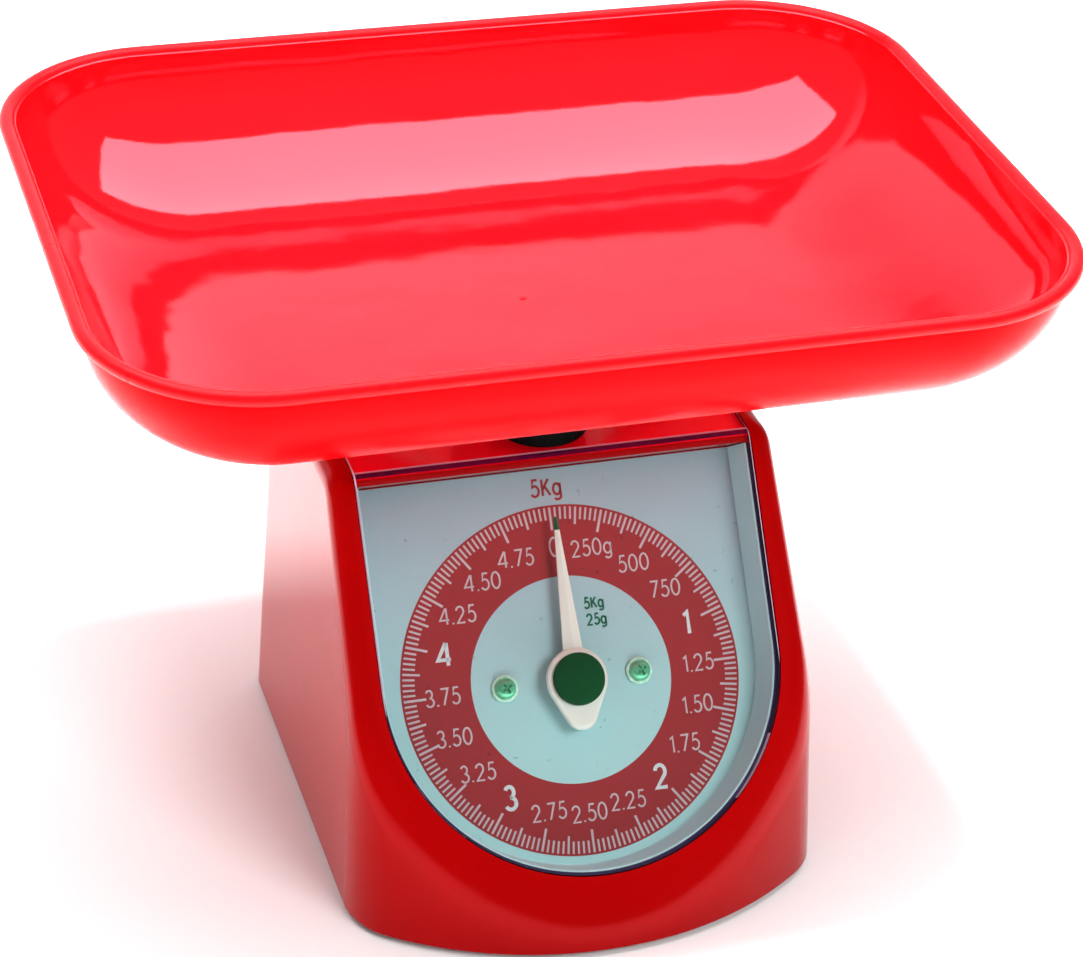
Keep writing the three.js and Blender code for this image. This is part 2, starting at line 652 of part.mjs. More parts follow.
add('movement_bracket', movementBracket(), steel);
add('front_bush', bush(BRACKET_FRONT - BRACKET_SHEET, BRACKET_FRONT, -1), brass);
add('rear_bush', bush(BRACKET_REAR + BRACKET_SHEET, BRACKET_REAR, 1), brass);

// ---- chassis

function chassis() {
  const half = CHASSIS_HALF + STEEL / 2;
  const front = SPRING_Y - 5.7;
  const back = PIVOT_Y + 4.5;
  const bottom = CHASSIS_FLOOR - STEEL / 2;
  const floor = block(-half, half, front, back, bottom, bottom + STEEL);
  const rearLow = block(-half, half, back - STEEL, back, bottom, CROSS_BAR.low);
  const rearHigh = block(-half, half, back - STEEL, back, CROSS_BAR.high, CHASSIS_TOP);
  const pieces = [floor, rearLow, rearHigh];
  const holes = [];
  for (const [, side] of SIDES) {
    const x = side * CHASSIS_HALF;
    pieces.push(block(x - STEEL / 2, x + STEEL / 2, front, back, bottom, CHASSIS_TOP));
    holes.push(block(x - STEEL, x + STEEL, SPRING_Y - HANGER_SLOT.width / 2,
      SPRING_Y + HANGER_SLOT.width / 2, HANGER_Z - HANGER_SLOT.half, HANGER_Z + HANGER_SLOT.half));
    holes.push(block(x - STEEL, x + STEEL, CHASSIS_WINDOW.y0, CHASSIS_WINDOW.y1,
      CHASSIS_WINDOW.z0, CHASSIS_WINDOW.z1));
    for (const z of [UPPER_PIVOT_Z, LOWER_PIVOT_Z]) {
      holes.push(barX(PIN_DIAMETER / 2 + CLEARANCE, x - STEEL, x + STEEL, PIVOT_Y, z));
    }
    for (const [end] of ENDS) {
      holes.push(barZ(SCREW_HOLE, bottom - 1, bottom + STEEL + 1, side * CHASSIS_SCREW_X,
        CHASSIS_SCREW_Y[end], 12));
    }
  }
  return geometryOf(cut(join(...pieces), ...holes));
}

add('chassis', chassis(), steel);

add('stop_buffer',
  barZ(STOP_RADIUS, CHASSIS_FLOOR + STEEL / 2 + CLEARANCE, CARRIER_FOOT - STOP_TRAVEL - CLEARANCE, 0,
    PLATE_Y, 20),
  rubber);

// ---- carrier, its pins, links and pivots

const LIGHTENING = { x: 12, z0: -10, z1: 2 };  // hole in the middle of the carrier plate
const PIN_HOLE = PIN_DIAMETER / 2 + CLEARANCE;

function carrier() {
  const y0 = PLATE_Y - STEEL / 2;
  const y1 = PLATE_Y + STEEL / 2;
  const half = SPRING_X + STEEL / 2;
  const pieces = [
    block(-half, half, y0, y1, CARRIER_FOOT, CARRIER_STEP),
    block(-CARRIER_NECK, CARRIER_NECK, y0, y1, CARRIER_STEP - 1, CARRIER_TOP - 2),
  ];
  const holes = [block(-LIGHTENING.x, LIGHTENING.x, y0 - 1, y1 + 1, LIGHTENING.z0,
    LIGHTENING.z1)];
  for (const [, side] of SIDES) {
    const x = side * SPRING_X;
    const sheet = [x - STEEL / 2, x + STEEL / 2];
    pieces.push(block(...sheet, CARRIER_PIN_Y - 5, y1, CARRIER_FOOT, CARRIER_STEP));
    pieces.push(block(...sheet, SPRING_Y - 4, y1, SPRING_FOOT - 3, SPRING_FOOT + 4.5));
    holes.push(barX(SPRING_HOLE, x - STEEL, x + STEEL, SPRING_Y, SPRING_FOOT));
    holes.push(barY(SCREW_HOLE, y0 - 1, y1 + 1, side * STEM_SCREW_X, STEM_SCREW_Z, 12));
    for (const z of [UPPER_PIVOT_Z, LOWER_PIVOT_Z]) {
      holes.push(barX(PIN_HOLE, x - STEEL, x + STEEL, CARRIER_PIN_Y, z + RISE));
    }
  }
  return geometryOf(cut(join(...pieces), ...holes));
}

// One link of the parallel motion, drawn level about its pivot and then tipped up
function link(pivotZ) {
  const tilt = Math.asin(RISE / LINK_LENGTH);
  const pieces = [];
  const holes = [];
  for (const [, side] of SIDES) {
    const x = side * LINK.x;
    pieces.push(block(x - LINK.wide / 2, x + LINK.wide / 2, -LINK_LENGTH - LINK.nose, LINK.heel,
      -LINK.half, LINK.half));
    for (const y of [0, -LINK_LENGTH - FIT, -LINK_LENGTH + FIT]) {
      holes.push(barX(PIN_HOLE, x - LINK.wide, x + LINK.wide, y, 0));
    }
  }
  pieces.push(block(-LINK.x, LINK.x, LINK_BRACE.y0, LINK_BRACE.y1, -LINK_BRACE.half,
    LINK_BRACE.half));
  const body = geometryOf(cut(join(...pieces), ...holes));
  return body.rotateX(-tilt).translate(0, PIVOT_Y, pivotZ);
}

add('carrier', carrier(), steel);
for (const [name, z] of [['upper', UPPER_PIVOT_Z], ['lower', LOWER_PIVOT_Z]]) {
  const reach = CHASSIS_HALF - STEEL / 2 - CLEARANCE;
  add(`${name}_link`, link(z), steel);
  add(`carrier_pin_${name}`, barX(PIN_DIAMETER / 2, -reach, reach, CARRIER_PIN_Y, z + RISE),
    steel);
  add(`pivot_pin_${name}`, barX(PIN_DIAMETER / 2, -CHASSIS_HALF - 3, CHASSIS_HALF + 3,
    PIVOT_Y, z), steel);
}

// ---- rack: its teeth lie parallel to the pinion shaft, so the bar itself can stand upright

const RACK = { thick: 3, half: 1.5, below: 2.6, arm: 15, armHeight: 6, foot: 9, blank: 40 };

function rackArm() {
  const pinionAt = dialPoint(0, -PINION_DEPTH);
  const pitch = 2 * Math.PI * PINION_RADIUS / PINION_TEETH;
  const root = PINION_RADIUS + 0.45;
  const tip = PINION_RADIUS - 0.15;
  const back = root + RACK.thick;
  const teeth = Math.ceil((TRAVEL * Math.cos(LEAN) + 4) / pitch);
  const first = -2;
  const barY0 = pinionAt.y - RACK.half;
  const plateFace = PLATE_Y - STEEL / 2 - CLEARANCE;
  const armZ0 = pinionAt.z + RACK.arm;
  const armZ1 = armZ0 + RACK.armHeight;
  const shape = new THREE.Shape();
  shape.moveTo(back, (first - 1) * pitch);
  shape.lineTo(back, (first + teeth + 1) * pitch);
  shape.lineTo(root, (first + teeth + 1) * pitch);
  for (let tooth = first + teeth - 1; tooth >= first; tooth -= 1) {
    const middle = (tooth + 0.5) * pitch;
    shape.lineTo(root, middle + 0.28 * pitch);
    shape.lineTo(tip, middle + 0.12 * pitch);
    shape.lineTo(tip, middle - 0.12 * pitch);
    shape.lineTo(root, middle - 0.28 * pitch);
  }
  shape.lineTo(root, (first - 1) * pitch);
  const options = { depth: RACK.blank, bevelEnabled: false };
  const toothed = onDial(new THREE.ExtrudeGeometry(shape, options)
    .translate(0, 0, -PINION_DEPTH - RACK.blank / 2));
  const upright = block(0, RACK.blank, barY0, pinionAt.y + RACK.half, pinionAt.z - RACK.below,
    armZ1 + 1);
  const bar = solid(toothed).intersect(solid(upright));
  const arm = block(root + 1, back, barY0, plateFace, armZ0, armZ1);
  const foot = block(root + 1, back + RACK.foot, plateFace - RACK.half, plateFace, armZ0, armZ1);
  return geometryOf(bar.add(solid(arm)).add(solid(foot)));
}

add('rack_arm', rackArm(), brass);

// ---- springs, hanger and zero adjustment

// Envelope of one extension spring: the coil as a sleeve, with a straight hook at each end
function spring(x) {
  const wire = SPRING_WIRE / 2;
  const across = SPRING_RADIUS - wire;
  const sleeve = new THREE.LatheGeometry([
    new THREE.Vector2(SPRING_RADIUS - SPRING_WIRE, COIL.bottom),
    new THREE.Vector2(SPRING_RADIUS, COIL.bottom),
    new THREE.Vector2(SPRING_RADIUS, COIL.top),
    new THREE.Vector2(SPRING_RADIUS - SPRING_WIRE, COIL.top),
    new THREE.Vector2(SPRING_RADIUS - SPRING_WIRE, COIL.bottom),
  ], 16).rotateX(Math.PI / 2);
  const bridges = [COIL.top - SPRING_WIRE, COIL.bottom]
    .map((z) => block(-across, across, -wire, wire, z, z + SPRING_WIRE));
  const hook = barZ(wire, COIL.top - 1, HANGER_Z - HANGER.half - 0.4, 0, 0, 8);
  const tail = barZ(wire, SPRING_FOOT + 4.9, COIL.bottom + 1, 0, 0, 8);
  const body = join(sleeve, ...bridges, hook, tail);
  return geometryOf(body).translate(x, SPRING_Y, 0);
}

for (const [sideName, side] of SIDES) {
  add(`spring_${sideName}`, spring(side * SPRING_X), steel);
}

function springHanger() {
  const bar = block(-HANGER.reach, HANGER.reach, SPRING_Y - HANGER.sheet / 2,
    SPRING_Y + HANGER.sheet / 2, HANGER_Z - HANGER.half, HANGER_Z + HANGER.half);
  const boss = barZ(HANGER.boss, HANGER_Z - HANGER.bossHalf, HANGER_Z + HANGER.bossHalf, 0,
    SPRING_Y, 20);
  const holes = [barZ(ZERO_SCREW_RADIUS + CLEARANCE, HANGER_Z - THROUGH, HANGER_Z + THROUGH, 0,
    SPRING_Y)];
  for (const [, side] of SIDES) {
    holes.push(barY(SPRING_WIRE, SPRING_Y - THROUGH, SPRING_Y + THROUGH, side * SPRING_X,
      HANGER_Z - FIT, 12));
  }
  return geometryOf(cut(join(bar, boss), ...holes));
}

const KNOB_EDGE = { low: 0.7, high: 1.2 };
const KNOB_ROOF = 2;
const NECK_BOTTOM = LEDGE_FLOOR - WALL - 0.5;

function zeroKnob() {
  const body = new THREE.LatheGeometry([
    new THREE.Vector2(0, KNOB_BOTTOM),
    new THREE.Vector2(KNOB_RADIUS - KNOB_EDGE.low, KNOB_BOTTOM),
    new THREE.Vector2(KNOB_RADIUS, KNOB_BOTTOM + KNOB_EDGE.low),
    new THREE.Vector2(KNOB_RADIUS, KNOB_TOP - KNOB_EDGE.high),
    new THREE.Vector2(KNOB_RADIUS - KNOB_EDGE.high, KNOB_TOP),
    new THREE.Vector2(0, KNOB_TOP),
  ], 28).rotateX(Math.PI / 2);
  const neck = barZ(NECK_RADIUS, NECK_BOTTOM, KNOB_BOTTOM + 1, 0, 0, 20);
  const bore = barZ(ZERO_SCREW_RADIUS + CLEARANCE, NECK_BOTTOM - 1, KNOB_TOP - KNOB_ROOF, 0, 0,
    20);
  return geometryOf(cut(join(body, neck), bore)).translate(0, SPRING_Y, 0);
}

const CLIP_TOP = NECK_BOTTOM - CLEARANCE;

add('spring_hanger', springHanger(), steel);
add('zero_knob', zeroKnob(), blackPlastic);
add('zero_screw',
  barZ(ZERO_SCREW_RADIUS, HANGER_Z - THROUGH, KNOB_TOP - KNOB_ROOF - 0.4, 0, SPRING_Y, 20),
  brass);
add('knob_clip',
  geometryOf(cut(solid(barZ(CLIP.radius, CLIP_TOP - CLIP.thick, CLIP_TOP, 0, SPRING_Y, 20)),
    barZ(ZERO_SCREW_RADIUS + CLEARANCE, CLIP_TOP - THROUGH, CLIP_TOP + 1, 0, SPRING_Y, 20))),
  steel);

// ---- platform

const PAN_UNDERSIDE = RIM_Z - PAN_DEPTH;
const PLATFORM_TOP = PAN_UNDERSIDE - CLEARANCE;
const PLATFORM_BOTTOM = PLATFORM_TOP - PLATFORM_HEIGHT;

function platform() {
  const half = STEM_WIDTH / 2 - STEM_DEPTH / 2;
  const stemShape = new THREE.Shape();
  stemShape.absarc(half, 0, STEM_DEPTH / 2, -Math.PI / 2, Math.PI / 2, false);
  stemShape.absarc(-half, 0, STEM_DEPTH / 2, Math.PI / 2, 3 * Math.PI / 2, false);
  const options = { depth: PLATFORM_TOP - 1 - STEM_FOOT, bevelEnabled: false, curveSegments: 6 };
  const stem = new THREE.ExtrudeGeometry(stemShape, options).translate(0, STEM_Y, STEM_FOOT);
  const hub = block(-HUB_HALF.x, HUB_HALF.x, STEM_Y - HUB_HALF.y, STEM_Y + HUB_HALF.y,
    PLATFORM_BOTTOM, PLATFORM_TOP);
  const pieces = [stem, hub];
  const holes = [];
  const rootX = STEM_WIDTH / 2 - 1;
  for (const [, side] of SIDES) {
    for (const [, end] of ENDS) {
      const run = new THREE.Vector2(side * (PAD_X - rootX), end * PAD_Y);
      const arm = new THREE.BoxGeometry(run.length(), ARM_WIDTH, PLATFORM_HEIGHT);
      arm.rotateZ(run.angle());
      arm.translate(side * (rootX + PAD_X) / 2, STEM_Y + end * PAD_Y / 2,
        PLATFORM_TOP - PLATFORM_HEIGHT / 2);
      pieces.push(arm);
      pieces.push(barZ(PAD_RADIUS, PLATFORM_BOTTOM, PLATFORM_TOP, side * PAD_X,
        STEM_Y + end * PAD_Y));
      holes.push(barZ(PEG_RADIUS + 0.5, PLATFORM_BOTTOM - 1, PLATFORM_TOP + 1, side * PAD_X,
        STEM_Y + end * PAD_Y, 12));
    }
    holes.push(barY(SCREW_HOLE, STEM_Y, STEM_Y + STEM_DEPTH, side * STEM_SCREW_X, STEM_SCREW_Z,
      12));
  }
  return geometryOf(cut(join(...pieces), ...holes));
}

add('platform', platform(), blackPlastic);

for (const [sideName, side] of SIDES) {
  const x = side * STEM_SCREW_X;
  const headBase = PLATE_Y + STEEL / 2 + CLEARANCE;
  add(`stem_screw_${sideName}`,
    geometryOf(join(
      barY(SCREW_HEAD, headBase, headBase + SCREW_HEAD_HEIGHT, x, STEM_SCREW_Z, 16),
      barY(SCREW_DIAMETER / 2, STEM_Y + 0.5, headBase + 0.5, x, STEM_SCREW_Z, 12),
    )),
    steel);
}

// ---- pan

// Rounded rectangle with its sides moved inward by inset, as a ring of points at one height
function panRing(inset, z, cornerSteps) {
  const halfX = RIM_HALF_X - inset;
  const halfY = RIM_HALF_Y - inset;
  const corner = RIM_CORNER - PAN_CORNER_SHRINK * Math.max(inset, 0) - Math.min(inset, 0);
  const points = [];
  for (let quarter = 0; quarter < 4; quarter += 1) {
    const alongX = quarter === 0 || quarter === 3 ? 1 : -1;
    const alongY = quarter < 2 ? 1 : -1;
    for (let step = 0; step <= cornerSteps; step += 1) {
      const angle = (quarter + step / cornerSteps) * Math.PI / 2;
      points.push(new THREE.Vector3(
        alongX * (halfX - corner) + corner * Math.cos(angle),
        alongY * (halfY - corner) + corner * Math.sin(angle),
        z,
      ));
    }
  }
  return points;
}

// Closed skin over a stack of rings, with a flat lid at each end
function loft(rings) {
  const around = rings[0].length;
  const points = rings.flat();
  const index = [];
  for (let ring = 0; ring < rings.length - 1; ring += 1) {
    for (let step = 0; step < around; step += 1) {
      const a = ring * around + step;
      const b = ring * around + (step + 1) % around;
      index.push(a, b, b + around, a, b + around, a + around);
    }
  }
  for (const [ring, flip] of [[0, true], [rings.length - 1, false]]) {
    const middle = points.length;
    const centre = new THREE.Vector3();
    rings[ring].forEach((point) => centre.add(point));
    points.push(centre.divideScalar(around));
    for (let step = 0; step < around; step += 1) {
      const a = ring * around + step;
      const b = ring * around + (step + 1) % around;
      index.push(...(flip ? [b, a, middle] : [a, b, middle]));
    }
  }
  const geometry = new THREE.BufferGeometry().setFromPoints(points);
  geometry.setIndex(index);
  return geometry;
}

function pan() {
  const cornerSteps = 9;
  const wallSteps = 7;
  const rimSteps = 5;
  const rimInset = 0.6;                        // wall starts this far inside the rim's middle
  const rimStart = -0.75;                      // turn of the rim, in radians, where it starts
  const outer = [];
  const inner = [];
  for (let step = 0; step <= wallSteps; step += 1) {
    const angle = (step / wallSteps) * Math.PI / 2;
    const inset = PAN_RUN * (1 - Math.cos(angle));
    const drop = PAN_DEPTH * Math.sin(angle);
    outer.push(panRing(inset + rimInset, RIM_Z - drop, cornerSteps));
    const innerInset = (PAN_RUN - PAN_WALL * 0.3) * (1 - Math.cos(angle)) + PAN_WALL + rimInset;
    inner.push(panRing(innerInset, RIM_Z - drop * (PAN_DEPTH - PAN_WALL) / PAN_DEPTH,
      cornerSteps));
  }
  const rim = [];
  for (let step = 0; step <= rimSteps; step += 1) {
    const angle = rimStart + (step / rimSteps) * (Math.PI - rimStart);
    rim.push(panRing(-RIM_RADIUS * Math.cos(angle), RIM_Z + RIM_RADIUS * Math.sin(angle),
      cornerSteps));
  }
  const rings = [...outer.reverse(), ...rim, ...inner];
  const bowl = loft(rings).translate(0, STEM_Y, 0);
  const pegs = [];
  for (const [, side] of SIDES) {
    for (const [, end] of ENDS) {
      pegs.push(barZ(PEG_RADIUS, PAN_UNDERSIDE - PEG_LENGTH, PAN_UNDERSIDE + 1, side * PAD_X,
        STEM_Y + end * PAD_Y, 12));
    }
  }
  return geometryOf(join(bowl, ...pegs));
}

add('pan', pan(), redPlastic);

export default scale;
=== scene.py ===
import json
import math

import bmesh
import bpy
import numpy as np
from mathutils import Matrix, Vector


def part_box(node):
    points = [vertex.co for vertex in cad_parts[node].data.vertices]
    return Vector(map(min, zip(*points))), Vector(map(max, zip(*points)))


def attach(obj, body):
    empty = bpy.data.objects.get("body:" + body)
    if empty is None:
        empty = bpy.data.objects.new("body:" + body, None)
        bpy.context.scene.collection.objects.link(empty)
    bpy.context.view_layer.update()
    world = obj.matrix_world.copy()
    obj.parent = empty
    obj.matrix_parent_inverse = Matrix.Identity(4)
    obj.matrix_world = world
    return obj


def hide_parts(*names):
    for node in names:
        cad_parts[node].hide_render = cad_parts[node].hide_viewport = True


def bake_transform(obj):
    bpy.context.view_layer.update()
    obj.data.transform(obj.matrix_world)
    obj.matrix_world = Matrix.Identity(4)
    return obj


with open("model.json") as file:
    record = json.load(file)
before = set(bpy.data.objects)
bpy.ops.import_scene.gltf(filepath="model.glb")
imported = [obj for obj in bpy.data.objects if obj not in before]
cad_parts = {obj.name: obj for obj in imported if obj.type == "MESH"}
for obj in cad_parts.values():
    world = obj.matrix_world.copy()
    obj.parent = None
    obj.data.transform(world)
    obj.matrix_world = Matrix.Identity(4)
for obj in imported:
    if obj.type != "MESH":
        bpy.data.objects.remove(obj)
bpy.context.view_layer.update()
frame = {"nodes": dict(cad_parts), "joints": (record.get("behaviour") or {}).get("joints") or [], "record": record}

# Mechanical kitchen scale: red plastic body and pan, tilted dial behind a clear window.
# Shapes are drawn in millimetres about the centre of the dial face, with +X to the right and
# +Z up, and piece() moves them into the frame. Places on the dial itself are (u, v, h): across,
# up the face, and out of the face. CORNERS names the four corners, with their sides in x and y.

MM = 0.001
JOINTS = {joint["name"]: joint for joint in frame["joints"]}
DIAL = Vector(JOINTS["pointer_spin"]["pos_m"])
LEAN = math.asin(-JOINTS["pointer_spin"]["axis"][2])
SIN, COS = math.sin(LEAN), math.cos(LEAN)
CLEARANCE = 0.3
CORNERS = [(f"{end}_{side}", x, y) for end, y in (("front", -1), ("rear", 1))
           for side, x in (("left", -1), ("right", 1))]


def node_box(node):
    """Lowest and highest corner of a CAD node, in millimetres about the dial centre."""
    return [(corner - DIAL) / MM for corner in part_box(node)]


def node_middle(node):
    """Centre of a CAD node, in millimetres about the dial centre, and half its width."""
    low, high = np.array(node_box(node))
    return (low + high) / 2, (high[0] - low[0]) / 2


def on_dial(points):
    """Points given as (u, v, h), in the body's axes."""
    u, v, h = np.asarray(points, float).reshape(-1, 3).T
    return np.stack([u, v * SIN - h * COS, v * COS + h * SIN], axis=1)


# ---------- materials


def new_material(name):
    """A new material with only its Principled shader: (material, tree, shader)."""
    material = bpy.data.materials.new(name)
    material.use_nodes = True
    tree = material.node_tree
    return material, tree, tree.nodes["Principled BSDF"]


def feed(tree, node, inputs):
    """Fills a node's inputs: each value is a constant, or another node's output to link."""
    for socket, value in inputs.items():
        if isinstance(value, bpy.types.NodeSocket):
            tree.links.new(value, node.inputs[socket])
        else:
            node.inputs[socket].default_value = value


def add(tree, kind, inputs):
    """A new shader node with its inputs filled."""
    node = tree.nodes.new("ShaderNode" + kind)
    feed(tree, node, inputs)
    return node


def noise(tree, scale, detail=2.0, stretch=(1, 1, 1)):
    """Noise over the piece's own coordinates, in lumps about 1 / scale metres across."""
    place = add(tree, "TexCoord", {}).outputs["Object"]
    mapping = add(tree, "Mapping", {"Vector": place, "Scale": stretch})
    texture = add(tree, "TexNoise", {"Vector": mapping.outputs["Vector"], "Scale": scale,
                                     "Detail": detail})
    return texture.outputs["Fac"]


def ramp(tree, value, stops):
    """Colour ramp on a value, between two stops given as (place, colour)."""
    node = add(tree, "ValToRGB", {"Fac": value})
    for element, (place, colour) in zip(node.color_ramp.elements, stops):
        element.position = place
        element.color = (*colour, 1)
    return node.outputs["Color"]


def spread(tree, value, low, high):
    """A 0 to 1 value moved to the range from low to high."""
    node = add(tree, "MapRange", {"Value": value, "To Min": low, "To Max": high})
    return node.outputs["Result"]


def plastic(name, colour, shade, roughness, grain=900.0, relief=0.00001, ior=1.5,
            tint=(1, 1, 1), through=0.0, sink=0.0, painted_glow=0.0):
    """Moulded plastic: a slow drift between two tones, flow marks and a fine surface grain.
    through is the share of light that scatters inside a thin wall, red furthest;
    sink is the depth of the slow waves a moulding has where it cooled unevenly;
    glow is painted light: an emission in the surface's own tone, which brightens a surface that the pan leaves in
    shade."""
    material, tree, shader = new_material(name)
    tone = ramp(tree, noise(tree, 14.0, 3.0), [(0.3, colour), (0.7, shade)])
    flow = noise(tree, 22.0, 6.0, (1.0, 3.5, 2.0))
    skin = {"Height": noise(tree, grain, 3.0), "Distance": relief}
    if sink:
        slow = noise(tree, 30.0, 2.0, (1, 1, 1.6))
        skin["Normal"] = add(tree, "Bump", {"Height": slow, "Distance": sink}).outputs["Normal"]
    feed(tree, shader, {
        "Base Color": tone,
        "Emission Color": tone,
        "Emission Strength": painted_glow,
        "Roughness": spread(tree, flow, roughness * 0.6, roughness * 1.5),
        "Normal": add(tree, "Bump", skin).outputs["Normal"],
        "IOR": ior,
        "Specular Tint": (*tint, 1),
        "Subsurface Weight": through,
        "Subsurface Radius": (1.0, 0.05, 0.05),
        "Subsurface Scale": 0.005,
    })
    return material


def metal(name, colour, shade, roughness, stretch=(1, 1, 12), metallic=1.0):
    """Rolled or plated metal with fine drawn lines."""
    material, tree, shader = new_material(name)
    lines = noise(tree, 700.0, 4.0, stretch)
    relief = add(tree, "Bump", {"Height": lines, "Distance": 0.00002})
    feed(tree, shader, {
        "Base Color": ramp(tree, lines, [(0.25, shade), (0.75, colour)]),
        "Roughness": spread(tree, lines, roughness * 0.7, roughness * 1.4),
        "Normal": relief.outputs["Normal"],
        "Metallic": metallic,
    })
    return material


def multiply(tree, one, other):
    """Product of two colours."""
    mix = tree.nodes.new("ShaderNodeMix")
    mix.data_type = "RGBA"
    mix.blend_type = "MULTIPLY"
    feed(tree, mix, {"Factor": 1.0, "A": one, "B": other})
    return mix.outputs["Result"]


# Heights between which the dial card turns darker and greyer towards its top: painted shade under the pan.
CARD_SHADE_LOW, CARD_SHADE_HIGH = DIAL.z - 10 * MM, DIAL.z + 32 * MM


def card(name, colour, shade, roughness=0.38, painted_shade_top=(1, 1, 1)):
    """Printed dial card: even paint with faint marks of handling.
    upper tints the card darker and greyer towards its top: painted shade where the pan overhangs it."""
    material, tree, shader = new_material(name)
    cloud = noise(tree, 30.0, 5.0)
    base = ramp(tree, cloud, [(0.3, colour), (0.8, shade)])
    dust = ramp(tree, noise(tree, 420.0), [(0.70, (1, 1, 1)), (0.78, (0.6, 0.62, 0.6))])
    place = add(tree, "TexCoord", {}).outputs["Object"]
    height = add(tree, "SeparateXYZ", {"Vector": place}).outputs["Z"]
    rise = add(tree, "MapRange", {"Value": height, "From Min": CARD_SHADE_LOW, "From Max": CARD_SHADE_HIGH})
    # Painted shade: the card darkens towards its top, where the pan overhangs it.
    painted_shade = ramp(tree, rise.outputs["Result"], [(0.0, (1, 1, 1)), (1.0, painted_shade_top)])
    feed(tree, shader, {
        "Base Color": multiply(tree, multiply(tree, base, dust), painted_shade),
        "Roughness": spread(tree, cloud, roughness * 0.85, roughness * 1.2),
    })
    return material


def clear(name, tint, gloss):
    """Clear plastic sheet: see-through, with a mirror gloss that grows at an angle."""
    material, tree, shader = new_material(name)
    haze = noise(tree, 60.0, 3.0)
    turned_away = add(tree, "LayerWeight", {"Blend": 0.5}).outputs["Facing"]
    grazing = add(tree, "Math", {0: turned_away, 1: 5})
    grazing.operation = "POWER"
    feed(tree, shader, {
        "Base Color": ramp(tree, haze, [(0.3, tint), (0.7, tuple(c * 0.9 for c in tint))]),
        "Roughness": spread(tree, haze, 0.015, 0.05),
        "Alpha": spread(tree, grazing.outputs["Value"], 0.04, gloss),
        "Metallic": 1.0,
    })
    return material


def clear_edge(name, tint, shade, alpha):
    """Cut or folded edge of a clear sheet, which looks dark instead of clear, or pale where a highlight is painted
    on it.
    """
    material = plastic(name, tint, shade, 0.06)
    material.node_tree.nodes["Principled BSDF"].inputs["Alpha"].default_value = alpha
    return material


RED = plastic("red_gloss", (0.72, 0.0022, 0.0050), (0.76, 0.0028, 0.0062), 0.055,
              ior=1.72, tint=(1.0, 0.76, 1.0), through=0.4, sink=0.0004)
RED_RIM = plastic("red_rim", (0.70, 0.0030, 0.0060), (0.74, 0.0036, 0.0070), 0.30,
                  ior=1.4, tint=(1.0, 0.45, 0.50), through=0.4)
RED_UNDER = plastic("red_underside", (0.72, 0.0014, 0.0035), (0.76, 0.0018, 0.0045), 0.20,
                    ior=1.14, tint=(1.0, 0.16, 0.20), through=0.4)
BODY_RED = plastic("red_body", (0.31, 0.0006, 0.0008), (0.35, 0.0008, 0.0011), 0.11,
                   relief=0.000006, ior=1.46, tint=(1.0, 0.12, 0.14), sink=0.0001)
# Ledge floor: a brighter copy of the body red with an emission, painted light on the ledge that lies in the pan's
# shade.
LEDGE_RED_PAINTED_GLOW = plastic("red_ledge_painted_glow", (0.70, 0.0012, 0.0090), (0.76, 0.0016, 0.0110), 0.16,
                    relief=0.000006, ior=1.4, tint=(1.0, 0.12, 0.20), painted_glow=0.30)
BLACK = plastic("black_moulding", (0.010, 0.011, 0.012), (0.016, 0.017, 0.018), 0.30,
                relief=0.00004)
KNOB_BLACK = plastic("black_knob", (0.0025, 0.003, 0.003), (0.004, 0.0045, 0.0045), 0.40,
                     relief=0.00001, ior=1.06)
RUBBER = plastic("rubber", (0.016, 0.016, 0.017), (0.024, 0.024, 0.026), 0.75,
                 relief=0.00008)
GREY = plastic("liner_grey", (0.47, 0.76, 0.78), (0.38, 0.64, 0.68), 0.45, ior=1.3)
CREAM = plastic("pointer_cream", (0.72, 0.80, 0.72), (0.66, 0.73, 0.65), 0.3)
GREEN = plastic("cap_green", (0.0006, 0.044, 0.009), (0.0014, 0.070, 0.016), 0.35, ior=1.12)
TIP_GREEN = plastic("tip_green", (0.006, 0.11, 0.045), (0.005, 0.09, 0.04), 0.35)
# The dial card's last colour is painted shade towards its top, under the pan.
CARD = card("dial_card", (0.365, 0.67, 0.67), (0.335, 0.62, 0.625), painted_shade_top=(0.90, 0.72, 0.79))
PRINT_RED = card("print_red", (0.30, 0.020, 0.023), (0.265, 0.022, 0.025))
PRINT_PALE = card("print_pale", (0.50, 0.46, 0.48), (0.47, 0.43, 0.45))
PRINT_BOLD = card("print_bold", (0.56, 0.68, 0.69), (0.52, 0.64, 0.65))
PRINT_GREEN = card("print_green", (0.004, 0.14, 0.07), (0.004, 0.12, 0.06))
STEEL = metal("steel", (0.66, 0.67, 0.68), (0.48, 0.49, 0.50), 0.32)
SPRING_STEEL = metal("spring_steel", (0.56, 0.57, 0.60), (0.40, 0.41, 0.44), 0.25)
PLATED = metal("plated_steel", (0.20, 0.80, 0.46), (0.12, 0.55, 0.30), 0.20, (1, 1, 1), 0.5)
# Washer plating: a paler copy of the plated steel, a painted highlight on the washer rims.
WASHER_PAINTED_HIGHLIGHT = metal("plated_washer_painted_highlight", (0.62, 1.0, 0.80), (0.45, 0.85, 0.64), 0.25, (1, 1, 1), 0.1)
BRASS = metal("brass", (0.78, 0.58, 0.26), (0.60, 0.43, 0.18), 0.28)
CLEAR = clear("clear_plastic", (0.90, 0.95, 1.0), 0.95)
DARK_EDGE = clear_edge("dark_edge", (0.030, 0.006, 0.060), (0.020, 0.005, 0.040), 0.92)
LINER_EDGE = plastic("liner_edge", (0.022, 0.016, 0.060), (0.030, 0.022, 0.075), 0.2)
